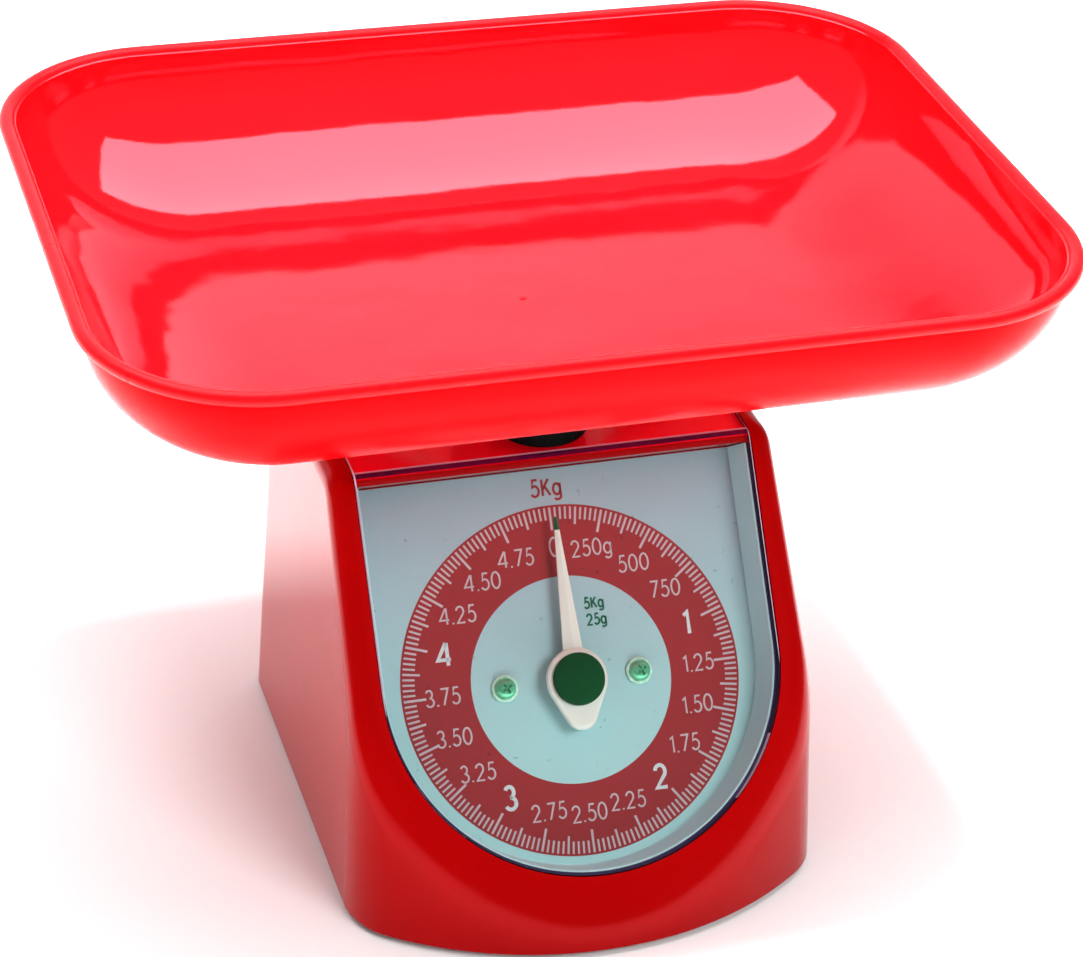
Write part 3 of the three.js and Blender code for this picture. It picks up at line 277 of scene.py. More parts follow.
# A painted highlight: the pale line along the lens's fold and side edges.
PAINTED_HIGHLIGHT_EDGE = clear_edge("painted_highlight_edge", (0.75, 0.66, 0.80), (0.62, 0.52, 0.70), 0.90)


# ---------- mesh helpers


LEVEL = 0.99    # least cosine at which a face counts as square to a direction


def paint(thing, choose):
    """Gives each face the material whose number choose(face) returns."""
    for face in thing.data.polygons:
        face.material_index = choose(face)


def linked(name, data):
    """A new object in the scene."""
    thing = bpy.data.objects.new(name, data)
    bpy.context.scene.collection.objects.link(thing)
    return thing


def new_mesh(name, points, faces):
    """A mesh from points and faces of any number type."""
    mesh = bpy.data.meshes.new(name)
    mesh.from_pydata(np.asarray(points, float).tolist(), [], [list(map(int, f)) for f in faces])
    return mesh


def clean(mesh, weld=0.0):
    """Turns all faces outward, after points nearer to each other than weld become one."""
    work = bmesh.new()
    work.from_mesh(mesh)
    if weld:
        bmesh.ops.remove_doubles(work, verts=work.verts, dist=weld)
    bmesh.ops.recalc_face_normals(work, faces=work.faces)
    work.to_mesh(mesh)
    work.free()


def piece(name, points, faces, material, body, slot, nodes=(), crease=34):
    """A mesh from points in millimetres, riding on a body and standing for CAD nodes."""
    mesh = new_mesh(name, np.asarray(points, float) * MM + np.array(DIAL), faces)
    mesh.update()
    return settle(linked(name, mesh), material, body, nodes, crease)


def settle(thing, material, body, nodes=(), crease=34):
    """Shading, material, body and the CAD nodes of a finished object."""
    mesh = thing.data
    mesh.materials.clear()
    for each in material if isinstance(material, list) else [material]:
        mesh.materials.append(each)
    clean(mesh, weld=1e-7)
    mesh.shade_smooth()
    mesh.set_sharp_from_angle(angle=math.radians(crease))
    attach(thing, body)
    if nodes:
        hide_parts(*nodes)
    return thing


def loft(rings, ring_closed=False):
    """Points and faces of a skin over rings with equal point counts. It has a face on the
    first and last ring, or ring_closed joins the last ring to the first."""
    rings = [np.asarray(ring, float) for ring in rings]
    around = len(rings[0])
    points = np.concatenate(rings)
    faces = []
    last = len(rings) if ring_closed else len(rings) - 1
    for ring in range(last):
        low, high = ring * around, ((ring + 1) % len(rings)) * around
        for step in range(around):
            after = (step + 1) % around
            faces.append((low + step, low + after, high + after, high + step))
    if not ring_closed:
        faces.append(tuple(range(around))[::-1])
        faces.append(tuple((len(rings) - 1) * around + step for step in range(around)))
    return points, faces


def turned(profile, sides, centre=(0, 0)):
    """Rings of a shape turned about +Z: profile is (radius, height). A radius may also be an
    array, one for each side."""
    angles = np.arange(sides) * 2 * math.pi / sides
    return [np.stack([centre[0] + radius * np.cos(angles), centre[1] + radius * np.sin(angles),
                      np.full(sides, height)], axis=1) for radius, height in profile]


def dial_turned(profile, sides, u=0, ring_closed=False):
    """Skin of a shape turned about an axis out of the dial, u to the right of its centre."""
    return loft([on_dial(ring) for ring in turned(profile, sides, (u, 0))], ring_closed)


def bow(x, y, rx, ry, start, end, steps=20):
    """Points on part of an ellipse, angles in degrees."""
    return [(x + rx * math.cos(math.radians(a)), y + ry * math.sin(math.radians(a)))
            for a in np.linspace(start, end, steps + 1)]


def arc(x, y, radius, start, end, steps):
    """Points on an arc, angles in degrees."""
    return bow(x, y, radius, radius, start, end, steps)


def stadium(half, radius, x, y, steps=20):
    """Outline of a slot with round ends, whose end centres are half away from (x, y)."""
    return [*arc(x + half, y, radius, -90, 90, steps), *arc(x - half, y, radius, 90, 270, steps)]


def raw(name, points, faces, weld=0.0):
    """A loose mesh object for boolean work, in millimetres about the dial centre."""
    mesh = new_mesh(name, points, faces)
    clean(mesh, weld)
    return linked(name, mesh)


def prism(outline, z0, z1):
    """Upright block on an outline, for boolean work."""
    return raw("cutter", *loft([[(x, y, z) for x, y in outline] for z in (z0, z1)]))


def box(x0, x1, y0, y1, z0, z1):
    return prism([(x0, y0), (x1, y0), (x1, y1), (x0, y1)], z0, z1)


def combine(base, others, operation="DIFFERENCE"):
    """Cuts or joins base with each of the others, which are used up."""
    for other in others:
        modifier = base.modifiers.new("cut", "BOOLEAN")
        modifier.operation = operation
        modifier.solver = "EXACT"
        modifier.object = other
        graph = bpy.context.evaluated_depsgraph_get()
        made = bpy.data.meshes.new_from_object(base.evaluated_get(graph))
        base.modifiers.clear()
        base.data = made
        bpy.data.objects.remove(other)
    return base


def finished(thing, name, material, body, nodes, crease=34):
    """Names a boolean result, moves it from millimetres into the frame and settles it."""
    thing.name = thing.data.name = name
    thing.data.transform(Matrix.Translation(DIAL) @ Matrix.Scale(MM, 4))
    return settle(thing, material, body, nodes, crease)


# ---------- body

# The front is bowed, and drafts are the millimetres that a wall leans in for each one up.
# FACE_HEIGHT is how far the sloping front stands out from the dial.
LOW, HIGH = node_box("housing_shell")
BODY_BOTTOM, BODY_TOP = LOW.z, HIGH.z
HALF_WIDTH, BODY_FRONT, BODY_BACK = HIGH.x, LOW.y, HIGH.y
BOW_RADIUS = 94
FRONT_CORNER, BACK_CORNER = 20, 10
BOW_Y = BODY_FRONT + BOW_RADIUS
FRONT_CORNER_X = HALF_WIDTH - FRONT_CORNER
FRONT_CORNER_Y = BOW_Y - math.sqrt((BOW_RADIUS - FRONT_CORNER) ** 2 - FRONT_CORNER_X ** 2)
CORNER_ANGLE = math.atan2(FRONT_CORNER_Y - BOW_Y, FRONT_CORNER_X)
BACK_CORNER_X, BACK_CORNER_Y = HALF_WIDTH - BACK_CORNER, BODY_BACK - BACK_CORNER
SIDE_DRAFT, FRONT_DRAFT, BACK_DRAFT = 0.0385, 0.13, 0.02
FACE_HEIGHT = 12.9
FRONT_TOP_RADIUS = 9
EDGE_RADIUS = 5
WALL = 2.2
WINDOW_HALF = node_box("lens")[1].x + CLEARANCE
WINDOW_ARC_V = 3
WINDOW_TOP_V = 56
LENS, PLATE = 1.8, 1
LEDGE_BACK = node_box("lens")[1].y
LEDGE_FLOOR = BODY_TOP - LENS - CLEARANCE
RECESS_BACK = -PLATE - CLEARANCE
STEM_HALF, STEM_DEEP = 18, 4.5
STEM_Y = node_middle("platform")[0][1]
KNOB_Y = node_middle("zero_knob")[0][1]
SPINDLE_HOLE, SCREW_HOLE = 4.5, 1.8


def outline_distance(x, y, inset):
    """Distance outside the lower edge of the body, seen from above."""
    x = np.abs(x)
    side = x - HALF_WIDTH
    bowed = np.hypot(x, y - BOW_Y) - BOW_RADIUS
    corner = np.hypot(x - FRONT_CORNER_X, y - FRONT_CORNER_Y) - FRONT_CORNER
    front = np.where(np.arctan2(y - BOW_Y, x) > CORNER_ANGLE, corner, bowed)
    qx, qy = x - BACK_CORNER_X, y - BACK_CORNER_Y
    back = (np.hypot(np.maximum(qx, 0), np.maximum(qy, 0))
            + np.minimum(np.maximum(qx, qy), 0) - BACK_CORNER)
    distance = np.where(y < FRONT_CORNER_Y, front, np.where(y < BACK_CORNER_Y, side, back))
    return distance + inset


def body_distance(points, inset=0.0):
    """Below 0 inside the body, with its edges rounded; the lower edge is left open."""
    x, y, z = points[..., 0], points[..., 1], points[..., 2]
    rise = z - BODY_BOTTOM
    loss = (FRONT_DRAFT + BACK_DRAFT) / (BODY_BACK - BODY_FRONT)
    still = BODY_BACK - BACK_DRAFT / loss
    wall = outline_distance(x / (1 - SIDE_DRAFT / HALF_WIDTH * rise),
                            still + (y - still) / (1 - loss * rise), inset)
    out = -y * COS + z * SIN - FACE_HEIGHT + inset
    top = z - BODY_TOP + inset
    centre_z = BODY_TOP - FRONT_TOP_RADIUS
    centre_y = (centre_z * SIN - FACE_HEIGHT + FRONT_TOP_RADIUS) / COS
    dy, dz = y - centre_y, z - centre_z
    angle = np.arctan2(dz, -dy)
    in_bend = (angle > LEAN) & (angle < math.pi / 2)
    crown = np.where(in_bend, np.hypot(dy, dz) - FRONT_TOP_RADIUS + inset,
                     np.maximum(out, top))
    radius = EDGE_RADIUS - inset
    return np.hypot(np.maximum(crown / radius + 1, 0), np.maximum(wall / radius + 1, 0)) - 1


def body_skin(inset, spacing, bottom):
    """Mesh of the body's surface: rays from the middle through a grid on a box round it."""
    middle = np.array([0.0, 24.0, -6.0])
    margin, halvings = 4, 44
    low = np.array([-HALF_WIDTH - margin, BODY_FRONT - margin, bottom])
    high = np.array([HALF_WIDTH + margin, BODY_BACK + margin, BODY_TOP + margin])
    counts = np.maximum(np.round((high - low) / spacing).astype(int), 2)
    points, faces = [], []
    for axis in range(3):
        a, b = [other for other in range(3) if other != axis]
        for value in (low[axis], high[axis]):
            grid = np.zeros((counts[a] + 1, counts[b] + 1, 3))
            grid[..., axis] = value
            grid[..., a] = np.linspace(low[a], high[a], counts[a] + 1)[:, None]
            grid[..., b] = np.linspace(low[b], high[b], counts[b] + 1)
            start = sum(len(part) for part in points)
            points.append(grid.reshape(-1, 3))
            index = start + np.arange(len(points[-1])).reshape(grid.shape[:2])
            faces.append(np.stack([index[:-1, :-1], index[1:, :-1], index[1:, 1:],
                                   index[:-1, 1:]], axis=-1).reshape(-1, 4))
    ends = np.concatenate(points)
    near, far = np.zeros(len(ends)), np.ones(len(ends))
    for _ in range(halvings):
        half = (near + far) / 2
        where = middle + (ends - middle) * half[:, None]
        inside = body_distance(where, inset) < 0
        near = np.where(inside, half, near)
        far = np.where(inside, far, half)
    places = middle + (ends - middle) * near[:, None]
    return raw("body_skin", places, np.concatenate(faces), weld=1e-4)


def window_outline(half, top, steps=96):
    """U-shaped outline of the window, as (u, v)."""
    return [(-half, top), *arc(0, WINDOW_ARC_V, half, 180, 360, steps), (half, top)]


def dial_prism(outline, h0, h1):
    """Block on an outline in (u, v), square to the dial."""
    return raw("cutter", *loft([on_dial([(u, v, h) for u, v in outline]) for h in (h0, h1)]))


def window_block(half, top, h0, h1):
    return dial_prism(window_outline(half, top), h0, h1)


def round_cut(radius, x, y, z0, z1, sides=48):
    return raw("cutter", *loft(turned([(radius, z0), (radius, z1)], sides, (x, y))))


def dial_cut(radius, u, h0, h1, sides=48):
    return raw("cutter", *dial_turned([(radius, h0), (radius, h1)], sides, u))


def housing():
    """Moulded body, hollow from below, with the window recess, ledge and holes cut in."""
    below, stem_gap = 16, 0.8
    skin = body_skin(0.0, spacing=1.35, bottom=BODY_BOTTOM - below)
    hollow = body_skin(WALL, spacing=3.0, bottom=BODY_BOTTOM - 2 * below)
    combine(hollow, [
        window_block(WINDOW_HALF + WALL, WINDOW_TOP_V + WALL, RECESS_BACK - WALL,
                     2 * FACE_HEIGHT),
        box(-WINDOW_HALF - WALL, WINDOW_HALF + WALL, -BODY_BACK, LEDGE_BACK + WALL,
            LEDGE_FLOOR - WALL, BODY_TOP + WALL),
    ])
    slot_ring = stadium(STEM_HALF - STEM_DEEP, STEM_DEEP + stem_gap, 0, STEM_Y, 16)
    cutters = [
        hollow,
        window_block(WINDOW_HALF, WINDOW_TOP_V, RECESS_BACK, 2 * FACE_HEIGHT),
        window_block(WINDOW_HALF, 2 * WINDOW_TOP_V, FACE_HEIGHT - LENS - CLEARANCE,
                     2 * FACE_HEIGHT),
        box(-WINDOW_HALF, WINDOW_HALF, -BODY_BACK, LEDGE_BACK + CLEARANCE, LEDGE_FLOOR,
            2 * BODY_TOP),
        prism(slot_ring, BODY_TOP - 3 * WALL, BODY_TOP + WALL),
        round_cut(SPINDLE_HOLE, 0, KNOB_Y, LEDGE_FLOOR - 3 * WALL, BODY_TOP + 1),
        dial_cut(SPINDLE_HOLE, 0, -8, 8),
        box(-BODY_BACK, BODY_BACK, -2 * BODY_BACK, 2 * BODY_BACK, -2 * BODY_BACK, BODY_BOTTOM),
    ]
    shell = finished(combine(skin, cutters), "housing", [BODY_RED, LEDGE_RED_PAINTED_GLOW], "housing",
                     ["housing_shell"])
    # The ledge floor under the pan takes the glowing ledge red: painted light where the pan shades it.
    ledge_z, near = DIAL.z + LEDGE_FLOOR * MM, 0.05 * MM
    paint(shell, lambda face: int(face.normal.z > LEVEL and abs(face.center.z - ledge_z) < near))


housing()


def base_plate():
    """Flat cover with a stepped edge and the screw holes."""
    low, high = node_box("base_plate")
    inset, meet = WALL + CLEARANCE, math.degrees(CORNER_ANGLE)

    def outline(shrink):
        front, back = FRONT_CORNER - shrink, BACK_CORNER - shrink
        return [*arc(0, BOW_Y, BOW_RADIUS - shrink, -180 - meet, meet, 48),
                *arc(FRONT_CORNER_X, FRONT_CORNER_Y, front, meet, 0, 16),
                *arc(BACK_CORNER_X, BACK_CORNER_Y, back, 0, 90, 12),
                *arc(-BACK_CORNER_X, BACK_CORNER_Y, back, 90, 180, 12),
                *arc(-FRONT_CORNER_X, FRONT_CORNER_Y, front, 180, 180 - meet, 16)]

    profile = [(6.0, low.z + 0.8), (5.2, low.z + 0.8), (4.6, low.z), (0.5, low.z),
               (0, low.z + 0.5), (0, high.z - 0.3), (0.3, high.z)]
    rings = [[(x, y, z) for x, y in outline(inset + shrink)] for shrink, z in profile]
    plate = raw("base_plate", *loft(rings))
    wells = []
    for corner, _, _ in CORNERS:
        for kind in ("base_screw", "chassis_screw"):
            x, y, _ = node_middle(f"{kind}_{corner}")[0]
            wells.append(round_cut(SCREW_HOLE, x, y, low.z - 5, high.z + 5, 24))
    finished(combine(plate, wells), "base_cover", BLACK, "housing",
             ["base_plate"])


base_plate()


def feet():
    """Rubber feet with a rounded rim and two grip grooves."""
    for corner, _, _ in CORNERS:
        low, high = node_box(f"foot_{corner}")
        middle, radius = node_middle(f"foot_{corner}")
        profile = [(1.8, low.z), (2.0, low.z + 0.5), (2.6, low.z + 0.5), (2.8, low.z),
                   (4.0, low.z), (4.2, low.z + 0.5), (4.8, low.z + 0.5), (5.0, low.z),
                   (radius - 0.8, low.z), (radius - 0.3, low.z + 0.15),
                   (radius, low.z + 0.6), (radius, high.z)]
        piece(f"rubber_foot_{corner}", *loft(turned(profile, 40, middle)), RUBBER, "housing",
              "rubber", [f"foot_{corner}"])


feet()


# ---------- window and liner


def lens():
    """Clear front whose top folds back over the ledge, with a dark cut edge all round."""
    half = WINDOW_HALF - CLEARANCE
    fold, chamfer, spare = 1.7, 0.35, 12
    fold_v = (BODY_TOP - FACE_HEIGHT * SIN) / COS
    inner_v = (BODY_TOP - LENS - (FACE_HEIGHT - LENS) * SIN) / COS
    corner, inner = on_dial([(0, fold_v, FACE_HEIGHT), (0, inner_v, FACE_HEIGHT - LENS)])[:, 1:]
    down, outward, up = np.array([[-SIN, -COS], [-COS, SIN], [0.0, 1.0]])
    start, end = corner + down * fold, corner + [fold, 0.0]
    bend = [(1 - t) ** 2 * start + 2 * t * (1 - t) * corner + t ** 2 * end
            for t in np.linspace(0, 1, 11)]
    length = fold_v - WINDOW_ARC_V + half + spare
    under = [np.array([LEDGE_BACK, BODY_TOP - LENS]), inner,
             corner + down * length - LENS * outward]
    outer = [corner + down * length, *bend, np.array([LEDGE_BACK, BODY_TOP])]
    sunk = [place - chamfer * (outward if number <= len(bend) // 2 else up)
            for number, place in enumerate(outer)]
    slab = raw("lens", *loft([[(x, y, z) for y, z in section + under] for x, section in (
        (-half, sunk), (-half + chamfer, outer), (half - chamfer, outer), (half, sunk))]))
    keep = window_block(half, 3 * WINDOW_TOP_V, FACE_HEIGHT - 3 * LENS, 3 * FACE_HEIGHT)
    ledge = box(-half, half, inner[0] - 4, LEDGE_BACK + 1, BODY_TOP - 6, BODY_TOP + 2)
    combine(keep, [ledge], "UNION")
    combine(slab, [keep], "INTERSECT")
    combine(slab, [round_cut(SPINDLE_HOLE, 0, KNOB_Y, BODY_TOP - 8, BODY_TOP + 4)])
    finished(slab, "lens", [CLEAR, DARK_EDGE, PAINTED_HIGHLIGHT_EDGE], "housing", ["lens"],
             crease=25)
    # Painted highlight: the pale edge material goes on the side chamfers and the top of the fold.
    paint(slab, lens_finish)


def lens_finish(face):
    """0 clear on the flat faces, 1 dark on cut edges and the fold, 2 pale, a painted highlight, on the side
    chamfers and the top of the fold.
    """
    normal = face.normal
    rise = math.degrees(math.asin(max(-1, min(1, normal.z))))
    lean = math.degrees(LEAN)
    if abs(rise) > 89.5 or abs(normal.x) < 0.3 and abs(abs(rise) - lean) < 14:
        return 0
    if abs(normal.x) > 0.9 or rise < -lean - 1 or abs(rise) < 5:
        return 1
    if abs(normal.x) > 0.3:
        return 2
    return 2 if rise > 80 else 1


lens()


def surround():
    """U-shaped liner between the dial card and the window, flaring towards the front."""
    low_h, high_h = CLEARANCE, FACE_HEIGHT - LENS - CLEARANCE
    outer = WINDOW_HALF - CLEARANCE
    top = WINDOW_TOP_V - CLEARANCE
    profile = [(51.0, low_h), (51.2, low_h + 0.2), (51.9, 7.0), (52.3, high_h - 0.4),
               (52.7, high_h), (outer, high_h), (outer, low_h)]
    legs = np.stack([on_dial([(u, v, h) for u, v in window_outline(half, top)])
                     for half, h in profile], axis=1)
    liner = piece("dial_liner", *loft(legs), [GREY, LINER_EDGE], "housing",
                  "grey_plastic", ["dial_surround"])
    front = Vector((0, -COS, SIN))
    paint(liner, lambda face: int(face.normal.dot(front) > LEVEL))


surround()


# ---------- dial and its print

RING_OUTER, RING_INNER = 46.0, 27.2
PRINT = 0.03
DIVISIONS = 200
NUMERAL_RADIUS = 35.0


def dial_card():
    """Thin printed plate with rounded lower half and screw holes."""
    half = WINDOW_HALF - CLEARANCE
    plate = window_block(half, WINDOW_TOP_V - CLEARANCE, -PLATE, 0)
    arbor_hole = 3
    holes = [dial_cut(arbor_hole, 0, -4, 4)]
    for side in ("left", "right"):
        holes.append(dial_cut(SCREW_HOLE, node_middle(f"dial_screw_{side}")[0][0], -4, 4, 24))
    finished(combine(plate, holes), "dial_card", CARD, "housing", ["dial_plate"])


def dial_ring():
    """Red band that carries the scale."""
    steps = 240
    angles = np.arange(steps) * 2 * math.pi / steps
    points = [(radius * math.sin(a), radius * math.cos(a), PRINT)
              for radius in (RING_OUTER, RING_INNER) for a in angles]
    faces = [(s, (s + 1) % steps, steps + (s + 1) % steps, steps + s) for s in range(steps)]
    piece("print_ring", on_dial(points), faces, PRINT_RED, "housing", "dial_card")


def dial_ticks():
    """200 graduations: every fifth is longer, every tenth the longest."""
    outer = 0.987 * RING_OUTER
    points, faces = [], []
    for mark in range(DIVISIONS):
        if mark % 10 == 0:
            inner, width = 0.857 * RING_OUTER, 0.62
        elif mark % 5 == 0:
            inner, width = 0.887 * RING_OUTER, 0.58
        else:
            inner, width = 0.917 * RING_OUTER, 0.52
        angle = 2 * math.pi * mark / DIVISIONS
        across = np.array([math.cos(angle), -math.sin(angle)])
        along = np.array([math.sin(angle), math.cos(angle)])
        start = len(points)
        for radius, side in ((inner, -1), (inner, 1), (outer, 1), (outer, -1)):
            points.append((*(along * radius + across * side * width / 2), 2 * PRINT))
        faces.append(tuple(range(start, start + 4)))
    piece("print_ticks", on_dial(points), faces, PRINT_PALE, "housing", "dial_card")


# Strokes of each character in a cell one unit high, with its width
CHARACTERS = {
    "0": (0.56, [bow(0.28, 0.50, 0.28, 0.50, 90, 450, 36)]),
    "1": (0.26, [[(0.02, 0.82), (0.22, 0.98), (0.22, 0.0)]]),
    "2": (0.56, [[*bow(0.27, 0.71, 0.25, 0.29, 168, -32), (0.04, 0.0), (0.56, 0.0)]]),
    "3": (0.52, [bow(0.24, 0.76, 0.21, 0.24, 155, -90),
                 bow(0.25, 0.26, 0.26, 0.26, 90, -155)]),
    "4": (0.64, [[(0.49, 0.0), (0.49, 1.0)], [(0.46, 1.0), (0.0, 0.27), (0.64, 0.27)]]),
    "5": (0.52, [[(0.49, 1.0), (0.17, 1.0), (0.10, 0.58),
                  *bow(0.25, 0.32, 0.27, 0.32, 122, -150)]]),
    "6": (0.54, [bow(0.27, 0.31, 0.27, 0.31, 90, 450, 30), [(0.41, 1.0), (0.04, 0.44)]]),
    "7": (0.52, [[(0.02, 1.0), (0.52, 1.0), (0.16, 0.0)]]),
    "8": (0.54, [bow(0.27, 0.76, 0.21, 0.24, 90, 450, 30),
                 bow(0.27, 0.26, 0.27, 0.26, 90, 450, 30)]),
    "9": (0.54, [bow(0.27, 0.69, 0.27, 0.31, 90, 450, 30), [(0.13, 0.0), (0.50, 0.56)]]),
    ".": (0.06, [[(0.03, -0.04), (0.03, 0.06)]]),
    "K": (0.54, [[(0.03, 0.0), (0.03, 1.0)], [(0.50, 1.0), (0.05, 0.38)],
                 [(0.20, 0.58), (0.54, 0.0)]]),
    "g": (0.48, [bow(0.24, 0.33, 0.24, 0.33, 90, 450, 30),
                 [(0.48, 0.68), (0.48, -0.10), *bow(0.25, -0.10, 0.23, 0.20, -10, -150)]]),
}
LETTER_GAP = 0.23
NARROW = 0.92
SHARPEST_MITRE = 1.7
NUMBER, BOLD, SMALL = (4.7, 0.48), (6.9, 1.0), (3.3, 0.55)    # height and weight of line


def stroke(path, width):
    """A flat ribbon along a path in (u, v): (points, faces)."""
    path = np.array(path, float)
    closed = np.allclose(path[0], path[-1])
    steps = np.diff(path, axis=0)
    steps /= np.linalg.norm(steps, axis=1)[:, None]
    before = np.vstack([steps[-1:] if closed else steps[:1], steps])
    after = np.vstack([steps, steps[:1] if closed else steps[-1:]])
    middle = before + after
    middle /= np.linalg.norm(middle, axis=1)[:, None]
    across = np.stack([-middle[:, 1], middle[:, 0]], axis=1)
    mitre = 1 / np.maximum(np.sum(before * middle, axis=1), 1 / SHARPEST_MITRE)
    edge = across * mitre[:, None] * width / 2
    points = np.concatenate([path + edge, path - edge])
    count = len(path)
    faces = [(i, i + 1, count + i + 1, count + i) for i in range(count - 1)]
    return points, faces


def lettering(name, entries, material):
    """A piece of flat strokes. Entries are (words, u, v, height, weight), with the words
    centred on (u, v)."""
    points, faces = [], []
    for words, u, v, height, weight in entries:
        size = height - weight
        reach = sum(CHARACTERS[letter][0] for letter in words) + LETTER_GAP * (len(words) - 1)
        at = -reach / 2
        for letter in words:
            wide, paths = CHARACTERS[letter]
            for path in paths:
                placed = [((x + at) * size * NARROW, (y - 0.5) * size) for x, y in path]
                ribbon, loops = stroke(placed, weight)
                faces += [tuple(len(points) + i for i in loop) for loop in loops]
                points += [(x + u, y + v, 2 * PRINT) for x, y in ribbon]
            at += wide + LETTER_GAP
    piece(name, on_dial(points), faces, material, "housing", "dial_card")


def dial_numbers():
    """Numbers every 250 g, clockwise from the top; whole kilograms are bold. The full load
    is also above the band, and the load and the step of the scale stand over the hub."""
    thin, bold = [], []
    numbers = 20
    for step in range(numbers):
        angle = 2 * math.pi * step / numbers
        u, v = NUMERAL_RADIUS * math.sin(angle), NUMERAL_RADIUS * math.cos(angle)
        grams = 250 * step
        if grams == 0:
            thin.append(("0", u, v, 5.4, 0.55))
        elif grams == 250:
            thin.append(("250g", u - 0.9, v + 0.5, 4.6, 0.46))
        elif grams < 1000:
            thin.append((str(grams), u + 0.3, v, *NUMBER))
        elif grams % 1000 == 0:
            bold.append((str(grams // 1000), u, v, *BOLD))
        else:
            thin.append((f"{grams / 1000:.2f}", u, v, *NUMBER))
    lettering("print_numbers", thin, PRINT_PALE)
    lettering("print_kilograms", bold, PRINT_BOLD)
    lettering("print_full_load", [("5Kg", -0.3, 50.8, 5.0, 0.66)], PRINT_RED)
    lettering("print_steps", [("5Kg", 8.6, 19.3, *SMALL), ("25g", 8.8, 14.9, *SMALL)],
              PRINT_GREEN)


dial_card()
dial_ring()
dial_ticks()
dial_numbers()


def dial_screws():
    """Crosshead screws on cup washers."""
    for side in ("left", "right"):
        u = node_middle(f"dial_screw_{side}")[0][0]
        cup = [(1.9, CLEARANCE), (3.55, CLEARANCE), (3.6, 0.6), (3.3, 1.0), (2.95, 1.1),
               (2.8, 0.9), (1.9, 0.9)]
        # The washers take the paler plated copy: a painted highlight on their rims.
        piece(f"cup_washer_{side}", *dial_turned(cup, 48, u, ring_closed=True), WASHER_PAINTED_HIGHLIGHT,
              "housing", "plated_steel", [f"dial_washer_{side}"])
        head = [(1.5, -9), (1.5, 1.4), (2.65, 1.4), (2.7, 1.9), (2.5, 2.3), (1.9, 2.75),
                (1.0, 3.0)]
        screw = raw("screw", *dial_turned(head, 40, u))
        cross = []
        turn, arm, slit = math.radians(28), 1.45, 0.34
        for wide, tall in ((arm, slit), (slit, arm)):
            ring = [(-wide, -tall), (wide, -tall), (wide, tall), (-wide, tall)]
            places = [(u + x * math.cos(turn) - y * math.sin(turn),
                       x * math.sin(turn) + y * math.cos(turn)) for x, y in ring]
            cross.append(dial_prism(places, 1.9, 4.0))
        finished(combine(screw, cross), f"cross_screw_{side}", PLATED, "housing",
                 [f"dial_screw_{side}"])


dial_screws()


# ---------- pointer

POINTER_BACK, POINTER_TOP = 4.4, 6.4


def pointer():
    """Tapered blade with a ridge, round hub and tongue-shaped tail, in one moulding."""
    tip_v, root_v, green_v = 42.6, 6.5, 39.2
    tip_half, root_half, edge = 0.45, 2.7, POINTER_BACK + 0.6
    stations = []
    for v in (root_v, 14.0, 22.0, 30.0, green_v, green_v, 41.0, tip_v):
        half = tip_half + (root_half - tip_half) * (tip_v - v) / (tip_v - root_v)
        crest = 1.0 - 0.5 * (v - root_v) / (tip_v - root_v)
        stations.append([(-half, v, POINTER_BACK), (half, v, POINTER_BACK), (half, v, edge),
                         (0.0, v, edge + crest), (-half, v, edge)])
    for name, part, material, slot in (
            ("pointer_blade", stations[:5], CREAM, "cream_plastic"),
            ("pointer_tip", stations[5:], TIP_GREEN, "green_plastic")):
        piece(name, *loft([on_dial(ring) for ring in part]), material, "pointer", slot,
              crease=20)
    tail_radius, tail_v, hub = 4.3, -9.0, 8.2
    start = math.degrees(math.asin((hub - tail_radius) / tail_v))
    ring = np.array([*arc(0, 0, hub, start, 180 - start, 64),
                     *arc(0, tail_v, tail_radius, 180 - start, 360 + start, 32)])
    middle = np.array([0.0, -2.0])
    profile = [(0.0, POINTER_BACK), (0.0, POINTER_TOP - 0.7), (0.035, POINTER_TOP - 0.25),
               (0.09, POINTER_TOP), (0.16, POINTER_TOP)]
    rings = [on_dial([(*(point + (middle - point) * shrink), h) for point in ring])
             for shrink, h in profile]
    piece("pointer_hub", *loft(rings), CREAM, "pointer", "cream_plastic", ["pointer"])
    cap_low, cap, wall, round_off = POINTER_TOP + CLEARANCE, 6.9, 0.9, 0.5
    dome = [(cap, cap_low), (cap, cap_low + wall)]
    dome += [(cap - round_off + round_off * math.cos(a), cap_low + wall + round_off * math.sin(a))
             for a in np.linspace(0.3, 1.3, 4)]
    dome += [(cap * r, cap_low + 1.4 + 0.9 * (1 - r * r)) for r in (0.88, 0.72, 0.5, 0.26)]
    piece("hub_cap", *dial_turned(dome, 64), GREEN, "pointer", "green_plastic",
          ["pointer_cap"])


pointer()


# ---------- zero knob


def zero_knob():
    """Black knob with a fluted edge and a shallow dish in its top."""
    low, high = node_box("zero_knob")
    centre, radius = node_middle("zero_knob")
    top, bottom, spindle = high.z, BODY_TOP + 0.6, 3.9
    flutes, sides = 72, 72 * 6
    wave = 0.5 - 0.5 * np.cos(np.arange(sides) * 2 * math.pi * flutes / sides)
    profile = [(spindle, low.z, 0), (spindle, bottom - 0.01, 0), (radius - 1.2, bottom, 0),
               (radius - 0.4, bottom + 0.3, 0.08), (radius, bottom + 0.9, 0.16),
               (radius, top - 1.9, 0.16), (radius - 0.35, top - 1.0, 0.12),
               (radius - 1.2, top - 0.35, 0.06), (radius - 2.2, top, 0),
               (radius - 3.2, top - 0.05, 0), (radius - 4.2, top - 0.6, 0),
               (radius - 7.0, top - 0.8, 0), (1.0, top - 0.8, 0)]
    rings = turned([(r - depth * wave, z) for r, z, depth in profile], sides, centre)
    piece("knob", *loft(rings), KNOB_BLACK, "zero_knob", "black_plastic", ["zero_knob"])


zero_knob()


# ---------- springs


